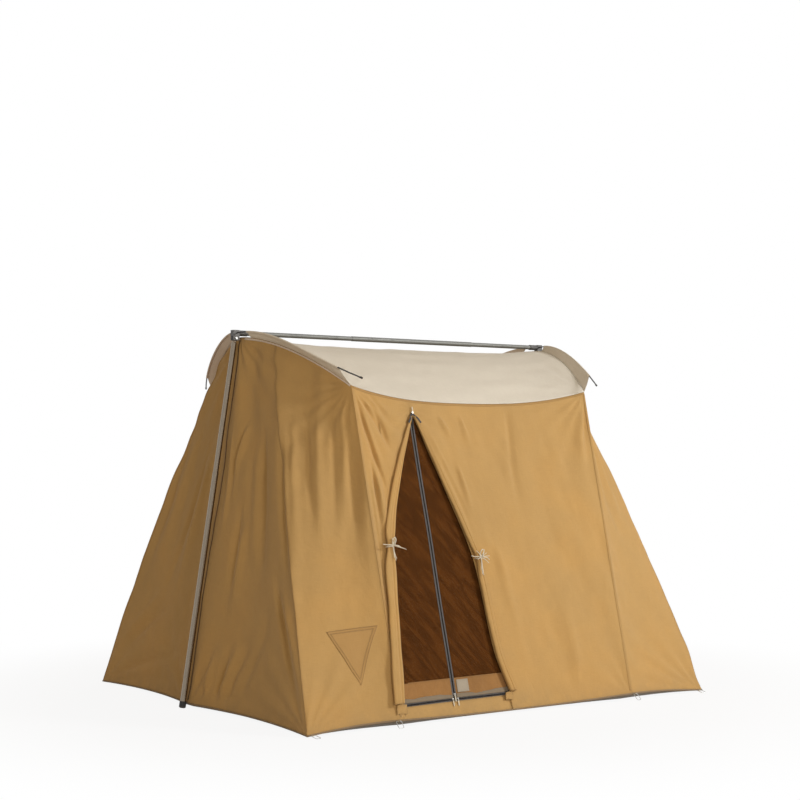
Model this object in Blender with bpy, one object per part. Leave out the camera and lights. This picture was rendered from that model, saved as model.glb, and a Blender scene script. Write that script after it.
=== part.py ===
"""A family tent in cotton canvas with a domed roof, held up by a ridge pole, two uprights and four bow rods.

X runs along the ridge, the door is on the -Y side and Z is up. The origin is on the ground in the
middle of the base. All sizes are in metres.
"""

import math

import bmesh
import bpy
import numpy as np
from mathutils import Matrix, Vector

# Overall sizes of the frame
RIDGE_HEIGHT = 1.98  # axis of the ridge pole above the ground
RIDGE_HALF = 1.057  # middle of the tent to the centre of a hub
POLE_FOOT_HALF = 1.368  # middle of the tent to where an upright's axis meets the ground

# Overall sizes of the canvas
BASE_HALF_LENGTH = 1.30
BASE_HALF_WIDTH = 1.131
EAVE_HALF_LENGTH = 0.789
EAVE_HALF_WIDTH = 0.725
EAVE_DROP = 0.300  # ridge axis down to an eave corner
ARCH_INSET = 0.032  # hub centre in to the apex of the arch seam
ARCH_DROP = 0.023  # ridge axis down to the apex of the arch seam
SEAM_FOOT_HALF = 0.765  # middle of the tent to the foot of a side wall's seam
POLE_STAND_OFF = 0.028  # from an upright's foot in to the hem

# How the canvas curves between its corners
ARCH_PLAN_POWER = 1.25
ARCH_DROP_POWER = 1.8
CROWN_SAG = 0.033
CROWN_POWER = 4.0
EAVE_SAG = 0.080
EAVE_SAG_POWER = 2.6
EAVE_DRAW = 0.050
SIDE_HEM_DRAW = 0.030
GUSSET_HEM_DRAW = 0.018
END_HEM_DRAW = 0.045
CREASE_SHARE = 0.36  # share of the arch between its apex and the corner crease
CREASE_BULGE = 0.038
FOLD_DEPTH = 0.009
HEM_CORNER_LIFT = 0.006
HEM_RING_LIFT = 0.030
HEM_DOOR_LIFT = 0.013
HEM_POLE_LIFT = 0.020
OUTWARD_LENGTH = 0.85  # where the way out leans along the tent, as a share of its half length
OUTWARD_WIDTH = 0.8
OUTWARD_RISE = 0.25

# Canvas thickness and clearances
CANVAS = 0.0020
WEBBING = 0.0045
GAP = 0.0003
RIM_WIDTH = 0.055  # floor sheet's rim, from the hem in to the flat of the floor
RIM_CLEAR = 0.0012
CUT_PAST = 0.03  # how far a cut runs past what it cuts

# Frame stock
RIDGE_END_OD = 0.0254
RIDGE_MIDDLE_OD = 0.0286
TUBE_WALL = 0.0012
TUBE_FIT = 0.0006  # bore less the diameter of the tube inside it
RIDGE_JOINT_LEFT = -0.31
RIDGE_JOINT_RIGHT = 0.54
RIDGE_PLUG = 0.08
UPPER_OD = 0.0286
LOWER_OD = 0.0318
UPPER_REACH = 0.73  # pivot down to the top of the lower tube
UPPER_PLUG = 0.15
ROD_RADIUS = 0.0038
FERRULE_RADIUS = 0.0052
FERRULE_LENGTH = 0.014
FERRULE_STEP = 0.0005
ROD_SEAT = 0.006  # hub's centre out to the end of a rod
ROD_TIP_OUT = 0.001  # beyond the eave corner along X
ROD_TIP_REACH = 0.104  # beyond the eave corner along Y
ROD_TIP_RISE = 0.033
ROD_START_SLOPE = (-0.236, 0.108)  # change of x and z for each metre of y
ROD_TIP_SLOPE = (-0.553, -0.420)
SLEEVE_SHARE = 0.844  # share of the rod's reach that lies in its sleeve
ROD_BARE_SHARE = 0.92  # share of the rod's reach at the middle of its bare length

# Hub
HUB_HALF_DEPTH = 0.016
HUB_INNER = 0.0155
HUB_OUTER = 0.0215
HUB_TOP = 0.016
HUB_SKIRT = 0.012  # hub below the pivot
SLEEVE_LENGTH = 0.052
SLEEVE_WALL = 0.0028
PIVOT_OUT = 0.0045
PIVOT_DROP = 0.028
PIN_RADIUS = 0.0040
PIN_HEAD = 0.0065
PIN_HEAD_THICK = 0.003
EYE_RADIUS = 0.010
EYE_HALF_THICK = 0.005
EYE_DROP = 0.030  # pivot down into the top of the tube
TUBE_START = 0.026  # pivot down to the top of the tube
SLOT_CLEAR = 0.0025
SIDE_CLEAR = 0.0004
TUBE_CROWN = 0.012  # solid top of an upright's tube
SOCKET_START = 0.004  # hub's centre out to the bottom of a rod's socket
SOCKET_REACH = 0.030
SOCKET_CLEAR = 0.0006
SLEEVE_MERGE = 0.002
HUB_SHARE = 0.09  # share of the arch left open round the hub

# Foot cap
CAP_WALL = 0.0018
CAP_LENGTH = 0.035
CAP_FLOOR = 0.008
CAP_TOE = 0.012
GROUND_CLEAR = 0.0005

# Door
DOOR_X = -0.396
DOOR_DROP = 0.150  # eave corner down to the top of the door
DOOR_LEFT_WIDTH = 0.333
DOOR_RIGHT_WIDTH = 0.351
DOOR_APEX_HALF = 0.003
EDGE_LEFT = ((0.0, 0.0), (0.2, 0.40), (0.43, 0.73), (0.72, 0.88), (1.0, 1.0))
EDGE_RIGHT = ((0.0, 0.0), (0.2, 0.285), (0.46, 0.66), (0.56, 0.745), (0.85, 0.83), (1.0, 1.0))
SCREEN_SETBACK = 0.016
SCREEN_THICK = 0.0018
SCREEN_TOP_LEFT = 0.220  # width of each screen half at the top of the door
SCREEN_TOP_RIGHT = 0.240
SCREEN_MARGIN = 0.017  # screen beyond the visible opening at the foot of the door
BINDING_WIDTH = 0.014
SILL_TOP = 0.088
SILL_CLEAR = 0.012  # top of the sill up to the foot of the door's shaped edges
BOTTOM_ZIP = 0.015
KICK_HEIGHT = 0.097
TAPE_WIDTH = 0.012
TAPE_SPLIT = 0.0016

# Door flaps, gathered along both edges of the opening
LEFT_FLAP_HALF = 0.036
RIGHT_FLAP_HALF = 0.023
FLAP_TOP_HALF = 0.007
FLAP_THICK = 0.022
FLAP_REST = 0.0014  # wall out to the back of a flap
EDGE_SET_BACK = 0.004  # edge of the wall behind a flap's visible edge
PINCH = 0.62
TIE_REACH = 0.04  # from a tie to where the flap is at its full width again
FLAP_CLEAR = 0.004  # screen's foot up to the end of a flap
SEAM_START = 0.012  # top of the door up to the seam over it
LEFT_TIE_HEIGHT = 0.862
RIGHT_TIE_HEIGHT = 0.782
TIE_DIAMETER = 0.005
TIE_CLEAR = 0.0026
TIE_SPREAD = 0.055  # how far from a tie the flap is still drawn in
TIE_THIN = 0.85  # a flap's thickness under its tie, as a share of the rest
FLAP_SWELL = 1.1  # the widest of a flap's soft ridges, as a share of its width
FLAP_RIDGE = 0.12
FLAP_BACK = 0.18  # how far a flap's rounded back reaches, as a share of its thickness
FLAP_TOP_SHARE = 0.45  # a flap's thickness at its top, as a share of the rest
FLAP_FILL_DROP = 0.25  # top of the door down to where a flap is at its full thickness
FLAP_WIDE_SHARE = 0.5  # share of the door's height in which a flap comes to its full width
TIE_RISE = 0.0045
TIE_NEST = 0.0015  # a tie's front turn beyond its back one
KNOT_STAND = 0.003

# Zip sliders and pulls
SLIDER_SIZE = (0.010, 0.008, 0.014)
BRIDGE_HALF = 0.0012
BRIDGE_END = 0.002  # bridge's top below the slider's top
EYE_SHARE = 0.8  # share of the slider's depth at which the pull hangs
WINDOW_RADIUS = 0.0011
PULL_BAR = 0.0007
CHEEK_WIDTH = 0.0016
CHEEK_LENGTH = 0.010
CHEEK_MERGE = 0.0015
ZIP_STAND = 0.006  # between the sliders of the vertical and the bottom zip
PULL_LENGTH = 0.034
PULL_WIDTH = 0.007
PULL_THICK = 0.0016

# Stake rings
RING_WIRE = 0.0016
RING_WIDTH = 0.032
RING_LENGTH = 0.046
RING_CORNER = 0.007
RING_CLEAR = 0.0006
TAB_WIDTH = 0.014
TAB_ROOT = 0.008
TAB_REACH = 0.014
TAB_EYE = 0.009
TAB_SINK = 0.0002
CORNER_TAB_INSET = 0.028
SEAM_TAB_INSET = 0.016

# Mesh fineness
TUBE_SIDES = 16
ROD_SIDES = 8
END_COLUMNS = 6
GUSSET_COLUMNS = 4
DOOR_SIDE_COLUMNS = 5
FAR_SIDE_COLUMNS = 9
WALL_ROWS = 8
FLAP_SIDES = 14
FLAP_ROWS = 14

# Places worked out from the sizes above
ARCH_X = RIDGE_HALF - ARCH_INSET
ARCH_Z = RIDGE_HEIGHT - ARCH_DROP
EAVE_Z = RIDGE_HEIGHT - EAVE_DROP
HEM_END_X = POLE_FOOT_HALF - POLE_STAND_OFF
PIVOT = np.array([RIDGE_HALF + PIVOT_OUT, 0.0, RIDGE_HEIGHT - PIVOT_DROP])
SCREEN_FOOT = SILL_TOP + BOTTOM_ZIP
DOOR_TOP = EAVE_Z - DOOR_DROP
DOOR_HEIGHT = DOOR_TOP - SILL_TOP - SILL_CLEAR


def material(name, colour, roughness, metallic=0.0):
    """A Principled material in one linear colour."""
    mat = bpy.data.materials.new(name)
    mat.use_nodes = True
    shader = mat.node_tree.nodes["Principled BSDF"]
    shader.inputs["Base Color"].default_value = (*colour, 1.0)
    shader.inputs["Roughness"].default_value = roughness
    shader.inputs["Metallic"].default_value = metallic
    mat.diffuse_color = (*colour, 1.0)
    return mat


def place(name, mesh, mat, smooth_angle=30.0):
    """Puts a mesh in the scene as the named object, with its faces pointing out."""
    bm = bmesh.new()
    bm.from_mesh(mesh)
    bmesh.ops.recalc_face_normals(bm, faces=bm.faces)
    bm.to_mesh(mesh)
    bm.free()
    mesh.name = name
    mesh.materials.append(mat)
    mesh.shade_smooth()
    mesh.set_sharp_from_angle(angle=math.radians(smooth_angle))
    obj = bpy.data.objects.new(name, mesh)
    bpy.context.collection.objects.link(obj)
    return obj


def mesh_of(points, faces):
    mesh = bpy.data.meshes.new("shape")
    mesh.from_pydata([tuple(float(c) for c in p) for p in points], [], faces)
    mesh.update()
    return mesh


def move_origin(obj, point):
    """Puts the object's origin on the given point, as on a joint's axis, and leaves its shape in place."""
    obj.data.transform(Matrix.Translation(-Vector(point)))
    obj.location = Vector(point)
    return obj


def cutter(name, mesh, target, operation="DIFFERENCE"):
    """Takes the mesh out of the target, or joins it on, with a Boolean modifier."""
    tool = place(name, mesh, target.data.materials[0])
    tool.hide_render = True
    tool.display_type = "WIRE"
    modifier = target.modifiers.new(name, "BOOLEAN")
    modifier.operation = operation
    modifier.solver = "EXACT"
    modifier.object = tool


def frame_matrix(origin, x_axis, z_axis):
    """A placing whose X and Z lie along the two axes given, which are square to each other."""
    z = Vector(z_axis).normalized()
    x = Vector(x_axis).normalized()
    y = z.cross(x)
    matrix = Matrix((x, y, z)).transposed().to_4x4()
    matrix.translation = Vector(origin)
    return matrix


def box(low, high, matrix=None):
    """A closed box between two corners, in the frame of matrix."""
    corners = [(x, y, z) for x in (low[0], high[0]) for y in (low[1], high[1]) for z in (low[2], high[2])]
    faces = [(0, 1, 3, 2), (4, 6, 7, 5), (0, 4, 5, 1), (2, 3, 7, 6), (0, 2, 6, 4), (1, 5, 7, 3)]
    mesh = mesh_of(corners, faces)
    if matrix is not None:
        mesh.transform(matrix)
    return mesh


def turned(profile, sides, matrix=None):
    """A body turned about Z from a closed profile of (radius, height); points at radius 0 lie on the axis."""
    points, rings = [], []
    for radius, height in profile:
        if radius == 0:
            rings.append([len(points)] * sides)
            points.append((0, 0, height))
            continue
        rings.append([len(points) + i for i in range(sides)])
        for i in range(sides):
            angle = 2 * math.pi * i / sides
            points.append((radius * math.cos(angle), radius * math.sin(angle), height))
    faces = []
    for k, ring in enumerate(rings):
        after = rings[(k + 1) % len(rings)]
        for i in range(sides):
            j = (i + 1) % sides
            corners = list(dict.fromkeys([ring[i], ring[j], after[j], after[i]]))
            if len(corners) > 2:
                faces.append(corners)
    mesh = mesh_of(points, faces)
    if matrix is not None:
        mesh.transform(matrix)
    return mesh


def tube(outer, inner, low, high, sides, matrix=None):
    return turned([(outer, low), (outer, high), (inner, high), (inner, low)], sides, matrix)


def rod(radius, low, high, sides, matrix=None):
    return turned([(0, low), (radius, low), (radius, high), (0, high)], sides, matrix)


def swept(path, section, closed=False):
    """A skin along the path; section(k, n, b) gives ring k's offsets from unit vectors n and b across it."""
    path = [Vector(p) for p in path]
    count = len(path)
    tangents = []
    for k in range(count):
        before = path[k - 1] if closed or k else path[0]
        after = path[(k + 1) % count] if closed or k < count - 1 else path[-1]
        tangents.append((after - before).normalized())
    side = tangents[0].cross(Vector((0.12, 0.23, 0.97))).normalized()
    points, rings = [], []
    for k in range(count):
        side = (side - tangents[k] * side.dot(tangents[k])).normalized()
        ring = section(k, side, tangents[k].cross(side))
        rings.append(range(len(points), len(points) + len(ring)))
        points += [path[k] + offset for offset in ring]
    faces = []
    sides = len(rings[0])
    for k in range(count if closed else count - 1):
        here, after = rings[k], rings[(k + 1) % count]
        for i in range(sides):
            j = (i + 1) % sides
            faces.append((here[i], here[j], after[j], after[i]))
    if not closed:
        faces += [tuple(rings[0]), tuple(reversed(rings[-1]))]
    return mesh_of(points, faces)


def round_section(radii, sides):
    def section(k, n, b):
        radius = radii[k]
        turns = [2 * math.pi * i / sides for i in range(sides)]
        return [n * (radius * math.cos(a)) + b * (radius * math.sin(a)) for a in turns]

    return section


def prism(outline, depth, matrix):
    """A plate: the outline, in the X and Z of the frame, made thick along its Y, half to each side."""
    count = len(outline)
    points = [(x, -depth / 2, z) for x, z in outline] + [(x, depth / 2, z) for x, z in outline]
    faces = [tuple(range(count)), tuple(range(2 * count - 1, count - 1, -1))]
    faces += [(i, (i + 1) % count, count + (i + 1) % count, count + i) for i in range(count)]
    mesh = mesh_of(points, faces)
    mesh.transform(matrix)
    return mesh


# The canvas surfaces. Each is worked out for the end at +X and the side at +Y, then mirrored.


def arch(share):
    """The seam between roof and end wall, from its apex to the eave corner."""
    x = ARCH_X - (ARCH_X - EAVE_HALF_LENGTH) * share**ARCH_PLAN_POWER
    z = ARCH_Z - (ARCH_Z - EAVE_Z) * share**ARCH_DROP_POWER
    return np.array([x, EAVE_HALF_WIDTH * share, z])


def eave(u):
    """The seam between roof and side wall, from one eave corner (-1) to the other (1)."""
    y = EAVE_HALF_WIDTH - EAVE_DRAW * (1 - u * u)
    z = EAVE_Z - EAVE_SAG * (1 - abs(u) ** EAVE_SAG_POWER)
    return np.array([EAVE_HALF_LENGTH * u, y, z])


def roof(u, v):
    """The domed roof: u runs from end to end and v from side to side, both -1 to 1."""
    share = abs(v)
    edge = eave(u)
    crown = ARCH_Z - CROWN_SAG * (1 - abs(u) ** CROWN_POWER)
    z = crown - (crown - edge[2]) * share**ARCH_DROP_POWER
    return np.array([u * arch(share)[0], v * edge[1], z])


def side_hem(u):
    """The hem under a side wall, from seam foot (-1) to seam foot (1)."""
    y = BASE_HALF_WIDTH - SIDE_HEM_DRAW * (1 - u * u)
    z = HEM_DOOR_LIFT + (HEM_RING_LIFT - HEM_DOOR_LIFT) * u * u
    return np.array([SEAM_FOOT_HALF * u, y, z])


def gusset_hem(w):
    """The hem under a corner gusset, from the base corner (0) to the seam foot (1)."""
    x = BASE_HALF_LENGTH + (SEAM_FOOT_HALF - BASE_HALF_LENGTH) * w
    y = BASE_HALF_WIDTH - 4 * GUSSET_HEM_DRAW * w * (1 - w)
    z = HEM_CORNER_LIFT + (HEM_RING_LIFT - HEM_CORNER_LIFT) * math.sin(math.pi / 2 * w)
    return np.array([x, y, z])


def end_hem(w):
    """The hem under half an end wall, from the pole foot (0) to the base corner (1)."""
    x = HEM_END_X + (BASE_HALF_LENGTH - HEM_END_X) * w - 4 * END_HEM_DRAW * w * (1 - w)
    z = HEM_POLE_LIFT + (HEM_CORNER_LIFT - HEM_POLE_LIFT) * w * w
    return np.array([x, BASE_HALF_WIDTH * w, z])


def outward(p):
    """The one direction in which all panels are made thick, so that neighbours meet along a seam."""
    along = (p[0] / (OUTWARD_LENGTH * BASE_HALF_LENGTH)) ** 3
    across = (p[1] / (OUTWARD_WIDTH * BASE_HALF_WIDTH)) ** 3
    way = np.array([along, across, OUTWARD_RISE])
    return way / np.linalg.norm(way)


def side_wall(u, h):
    return side_hem(u) + (eave(u) - side_hem(u)) * h


def bulged(low, high, h, strength):
    point = low + (high - low) * h
    return point + outward(point) * (strength * CREASE_BULGE * math.sin(math.pi * h))


def gusset(w, h):
    """A corner gusset, from the crease (0) to the side wall's seam (1)."""
    return bulged(gusset_hem(w), arch(CREASE_SHARE + (1 - CREASE_SHARE) * w), h, (1 - w) ** 2)


def end_wall(w, h):
    """An end wall, from the crease on one side (-1) to the crease on the other (1)."""
    share = abs(w)
    point = bulged(end_hem(share), arch(CREASE_SHARE * share), h, share**2)
    return point * [1, math.copysign(1, w), 1]


def fold(depth, waves):
    """Soft folds that run down a panel and fade out at all its edges."""

    def rise(c, h):
        return depth * math.sin(2 * math.pi * waves * c) * math.sin(math.pi * c) * math.sin(math.pi * h)

    return rise


def shell_mesh(surface, columns, rows, left, right, sides, folds=None, thick=None):
    """A sheet of canvas over surface(u, h), between the edges left(h) and right(h), as a closed solid.

    sides mirrors it along X and Y, and thick gives the way from its surface to its other face.
    """
    mirror = np.array([sides[0], sides[1], 1.0])
    near, far = [], []
    for h in rows:
        start, end = left(h), right(h)
        margin = 0.6 * GAP / np.linalg.norm(surface(end, h) - surface(start, h))
        for i in range(columns + 1):
            c = i / columns
            u = start + (end - start) * (margin + (1 - 2 * margin) * c)
            point = surface(u, h)
            if folds:
                point = point + outward(point) * folds(c, h)
            way = thick(point) if thick else -CANVAS * outward(point)
            near.append(point * mirror)
            far.append((point + way) * mirror)
    stride = columns + 1
    count = len(near)
    faces = []
    for k in range(len(rows) - 1):
        for i in range(columns):
            a = k * stride + i
            for tri in ((a, a + 1, a + stride + 1), (a, a + stride + 1, a + stride)):
                faces += [tri, tuple(count + v for v in reversed(tri))]
    border = list(range(stride))
    border += [k * stride + columns for k in range(1, len(rows))]
    border += [(len(rows) - 1) * stride + i for i in range(columns - 1, -1, -1)]
    border += [k * stride for k in range(len(rows) - 2, 0, -1)]
    for i, a in enumerate(border):
        b = border[(i + 1) % len(border)]
        faces.append((a, b, count + b, count + a))
    return mesh_of(near + far, faces)


def spaced(low, high, count):
    return [low + (high - low) * i / count for i in range(count + 1)]


def wall_rows():
    """The heights of the walls' rows, as shares, ending just under the roof's seam."""
    slant = np.linalg.norm(eave(1) - side_hem(1))
    return spaced(0.0, 1.0 - 2 * GAP / slant, WALL_ROWS)


# Places on the front wall, given by x and z


def wall_coords(x, z):
    """The front wall's own coordinates at the place with this x and z."""
    h = z / EAVE_Z
    for _ in range(8):
        u = x / (SEAM_FOOT_HALF + (EAVE_HALF_LENGTH - SEAM_FOOT_HALF) * h)
        foot, top = side_hem(u), eave(u)
        h = (z - foot[2]) / (top[2] - foot[2])
    return u, h


def on_front(x, z):
    u, h = wall_coords(x, z)
    return side_wall(u, h) * [1, -1, 1]


def eased(points, share):
    """A smooth curve through the points, read at a share of its run."""
    for k in range(len(points) - 1):
        (a, p), (b, q) = points[k], points[k + 1]
        if share <= b or k == len(points) - 2:
            before = points[k - 1] if k else (2 * a - b, 2 * p - q)
            after = points[k + 2] if k + 2 < len(points) else (2 * b - a, 2 * q - p)
            t = min(max((share - a) / (b - a), 0.0), 1.0)
            slope_a = (q - before[1]) / (b - before[0]) * (b - a)
            slope_b = (after[1] - p) / (after[0] - a) * (b - a)
            cubic = 2 * t**3 - 3 * t**2 + 1
            return p * cubic + q * (1 - cubic) + slope_a * (t**3 - 2 * t**2 + t) + slope_b * (t**3 - t**2)
    return points[-1][1]


def door_edge(side, z):
    """The x of the visible edge of the opening, on the left (-1) or right (1), at height z."""
    share = (DOOR_TOP - z) / DOOR_HEIGHT
    width = DOOR_LEFT_WIDTH if side < 0 else DOOR_RIGHT_WIDTH
    shape = EDGE_LEFT if side < 0 else EDGE_RIGHT
    return DOOR_X + side * (DOOR_APEX_HALF + width * eased(shape, max(share, 0.0)))


def flap_half(side, z):
    """Half the width of a gathered flap, before its tie draws it in."""
    share = min(max((DOOR_TOP - z) / DOOR_HEIGHT, 0.0), 1.0)
    full = LEFT_FLAP_HALF if side < 0 else RIGHT_FLAP_HALF
    return FLAP_TOP_HALF + (full - FLAP_TOP_HALF) * math.sin(math.pi / 2 * min(share / FLAP_WIDE_SHARE, 1.0))


def flap_heights(tie_height):
    """The heights at which a flap, and the wall beside it, have their points."""
    heights = spaced(SCREEN_FOOT + FLAP_CLEAR, DOOR_TOP, FLAP_ROWS)
    heights = [z for z in heights if abs(z - tie_height) > 1.3 * TIE_REACH]
    return sorted(heights + [tie_height - TIE_REACH, tie_height, tie_height + TIE_REACH])


def flap_thick(z):
    return FLAP_THICK * (FLAP_TOP_SHARE + (1 - FLAP_TOP_SHARE) * min((DOOR_TOP - z) / FLAP_FILL_DROP, 1.0))


def flap_lift(z, tie_height):
    """How far a flap's back stands off the wall, more where its tie passes behind it."""
    near_tie = math.exp(-(((z - tie_height) / TIE_SPREAD) ** 2))
    return FLAP_REST + (TIE_DIAMETER + 2 * TIE_CLEAR - FLAP_REST) * near_tie


def flap_axis(side, z):
    return door_edge(side, z) + side * flap_half(side, z)


def wall_edge(side, z):
    """The x where the wall's canvas stops, just behind a flap's visible edge."""
    return door_edge(side, z) + side * EDGE_SET_BACK


def door_plane():
    """A point on the plane of the screen door, its direction up the door and its outward normal."""
    apex = on_front(DOOR_X, DOOR_TOP)
    left = on_front(DOOR_X - DOOR_LEFT_WIDTH, DOOR_TOP - DOOR_HEIGHT)
    right = on_front(DOOR_X + DOOR_RIGHT_WIDTH, DOOR_TOP - DOOR_HEIGHT)
    normal = np.cross(right - left, apex - left)
    normal = normal / np.linalg.norm(normal)
    return apex - SCREEN_SETBACK * normal, normal


DOOR_POINT, DOOR_NORMAL = door_plane()


def on_door(x, z, out=0.0):
    """The place on the screen door's plane with this x and z, moved out along its normal."""
    run = DOOR_NORMAL[0] * (x - DOOR_POINT[0]) + DOOR_NORMAL[2] * (z - DOOR_POINT[2])
    return np.array([x, DOOR_POINT[1] - run / DOOR_NORMAL[1], z]) + out * DOOR_NORMAL


def door_frame(x, z, out=0.0):
    """A placing on the door's plane: X across, Z up the plane, -Y outward."""
    across = np.array([DOOR_NORMAL[1], -DOOR_NORMAL[0], 0.0]) * -1
    up = np.cross(across / np.linalg.norm(across), -DOOR_NORMAL)
    return frame_matrix(on_door(x, z, out), across, up)


def screen_side(side, z):
    """The x of a screen half's outer edge, a straight line down the door, which is its hinge."""
    share = (DOOR_TOP - z) / (DOOR_TOP - SCREEN_FOOT)
    top = SCREEN_TOP_LEFT if side < 0 else SCREEN_TOP_RIGHT
    foot = (DOOR_LEFT_WIDTH if side < 0 else DOOR_RIGHT_WIDTH) + SCREEN_MARGIN
    return DOOR_X + side * (top + (foot - top) * share)


# Bow rods


def rod_tip():
    corner = arch(1.0)
    return corner + [ROD_TIP_OUT, ROD_TIP_REACH, ROD_TIP_RISE]


def bow(share):
    """A bow rod's axis, from the hub's centre (0) to its tip (1), for the end at +X and the side at +Y."""
    start = np.array([RIDGE_HALF, 0.0, RIDGE_HEIGHT])
    tip = rod_tip()
    third = tip[1] / 3
    first = start + third * np.array([ROD_START_SLOPE[0], 1.0, ROD_START_SLOPE[1]])
    second = tip - third * np.array([ROD_TIP_SLOPE[0], 1.0, ROD_TIP_SLOPE[1]])
    left = 1 - share
    return left**3 * start + 3 * left**2 * share * first + 3 * left * share**2 * second + share**3 * tip


def arch_stations():
    """The shares of the arch at which every panel that meets it has its points."""
    crease = spaced(0.0, CREASE_SHARE, END_COLUMNS)
    return crease + spaced(CREASE_SHARE, 1.0, GUSSET_COLUMNS)[1:]


def side_stations():
    """The places along a side wall's top at which the wall and the roof have their points."""
    apex = wall_coords(DOOR_X, DOOR_TOP)[0]
    return spaced(-1.0, apex, DOOR_SIDE_COLUMNS) + spaced(apex, 1.0, FAR_SIDE_COLUMNS)[1:]


def along_stations(stations, share):
    """The coordinate at a share of the run through stations that aren't evenly spaced."""
    place_on = share * (len(stations) - 1)
    k = min(int(place_on), len(stations) - 2)
    return stations[k] + (stations[k + 1] - stations[k]) * (place_on - k)


# Building


def clear_scene():
    for obj in list(bpy.data.objects):
        bpy.data.objects.remove(obj, do_unlink=True)


def build_ridge(mats):
    along = frame_matrix((0, 0, RIDGE_HEIGHT), (0, 0, -1), (1, 0, 0))
    end = RIDGE_HALF - HUB_INNER - GAP
    outer, middle = RIDGE_END_OD / 2, RIDGE_MIDDLE_OD / 2
    inner = outer - TUBE_WALL
    left = tube(outer, inner, -end, RIDGE_JOINT_LEFT + RIDGE_PLUG, TUBE_SIDES, along)
    place("ridge_pole_left", left, mats["steel"])
    bore = outer + TUBE_FIT / 2
    centre = tube(middle, bore, RIDGE_JOINT_LEFT, RIDGE_JOINT_RIGHT, TUBE_SIDES, along)
    place("ridge_pole_middle", centre, mats["steel"])
    right = tube(outer, inner, RIDGE_JOINT_RIGHT - RIDGE_PLUG, end, TUBE_SIDES, along)
    place("ridge_pole_right", right, mats["steel"])


def build_hub(name, end, mats):
    """The bracket at one end of the ridge: the pole's sleeve, two rod sockets and the upright's clevis."""
    centre = np.array([end * RIDGE_HALF, 0.0, RIDGE_HEIGHT])
    outwards = frame_matrix(centre, (0, 0, 1), (end, 0, 0))
    pivot = PIVOT * [end, 1, 1]
    low, high = sorted((centre[0] - end * HUB_INNER, centre[0] + end * HUB_OUTER))
    foot = pivot[2] - HUB_SKIRT
    block = box((low, -HUB_HALF_DEPTH, foot), (high, HUB_HALF_DEPTH, RIDGE_HEIGHT + HUB_TOP))
    hub = place(name, block, mats["hub"])
    bore = RIDGE_END_OD / 2 + TUBE_FIT / 2
    sleeve_end = -HUB_INNER - SLEEVE_LENGTH
    sleeve = tube(bore + SLEEVE_WALL, bore, sleeve_end, SLEEVE_MERGE - HUB_INNER, TUBE_SIDES, outwards)
    cutter(name + "_sleeve", sleeve, hub, "UNION")
    for side in (-1, 1):
        start = bow(SOCKET_START / rod_tip()[1]) * [end, side, 1]
        ahead = bow(SOCKET_REACH / rod_tip()[1]) * [end, side, 1]
        way = Vector(ahead - start)
        across = way.cross(Vector((1, 0, 0)))
        socket = frame_matrix(start, across, way)
        hole = rod(ROD_RADIUS + SOCKET_CLEAR, 0.0, way.length, ROD_SIDES * 2, socket)
        cutter(f"{name}_socket_{'rear' if side > 0 else 'front'}", hole, hub)
    reach = EYE_RADIUS + SLOT_CLEAR
    low, high = sorted((pivot[0] - end * reach, pivot[0] + end * CUT_PAST))
    half = EYE_HALF_THICK + SIDE_CLEAR
    slot = box((low, -half, foot - CUT_PAST), (high, half, pivot[2] + reach))
    cutter(name + "_slot", slot, hub)
    across = frame_matrix(pivot, (1, 0, 0), (0, 1, 0))
    hole = rod(PIN_RADIUS + GAP, -CUT_PAST, CUT_PAST, TUBE_SIDES, across)
    cutter(name + "_pin_hole", hole, hub)


def build_pin(name, end, mats):
    half = HUB_HALF_DEPTH + GAP
    head = half + PIN_HEAD_THICK
    profile = [(0, -head), (PIN_HEAD, -head), (PIN_HEAD, -half), (PIN_RADIUS, -half)]
    profile += [(PIN_RADIUS, half), (PIN_HEAD, half), (PIN_HEAD, head), (0, head)]
    across = frame_matrix(PIVOT * [end, 1, 1], (1, 0, 0), (0, 1, 0))
    place(name, turned(profile, TUBE_SIDES, across), mats["steel"])


def pole_matrix(end):
    """The upright's frame: its origin on the pivot and Z up the pole."""
    pivot = PIVOT * [end, 1, 1]
    foot = np.array([end * POLE_FOOT_HALF, 0.0, 0.0])
    up = Vector(pivot - foot)
    return frame_matrix(pivot, Vector((0, 1, 0)).cross(up), up)


def pole_length():
    return float(np.linalg.norm(PIVOT - [POLE_FOOT_HALF, 0.0, 0.0]))


def cap_base():
    """Distance from the pivot down to the sole of the foot cap, which stands just clear of the ground."""
    lean = math.asin((POLE_FOOT_HALF - PIVOT[0]) / pole_length())
    return pole_length() - (CAP_TOE * math.sin(lean) + GROUND_CLEAR) / math.cos(lean)


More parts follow.
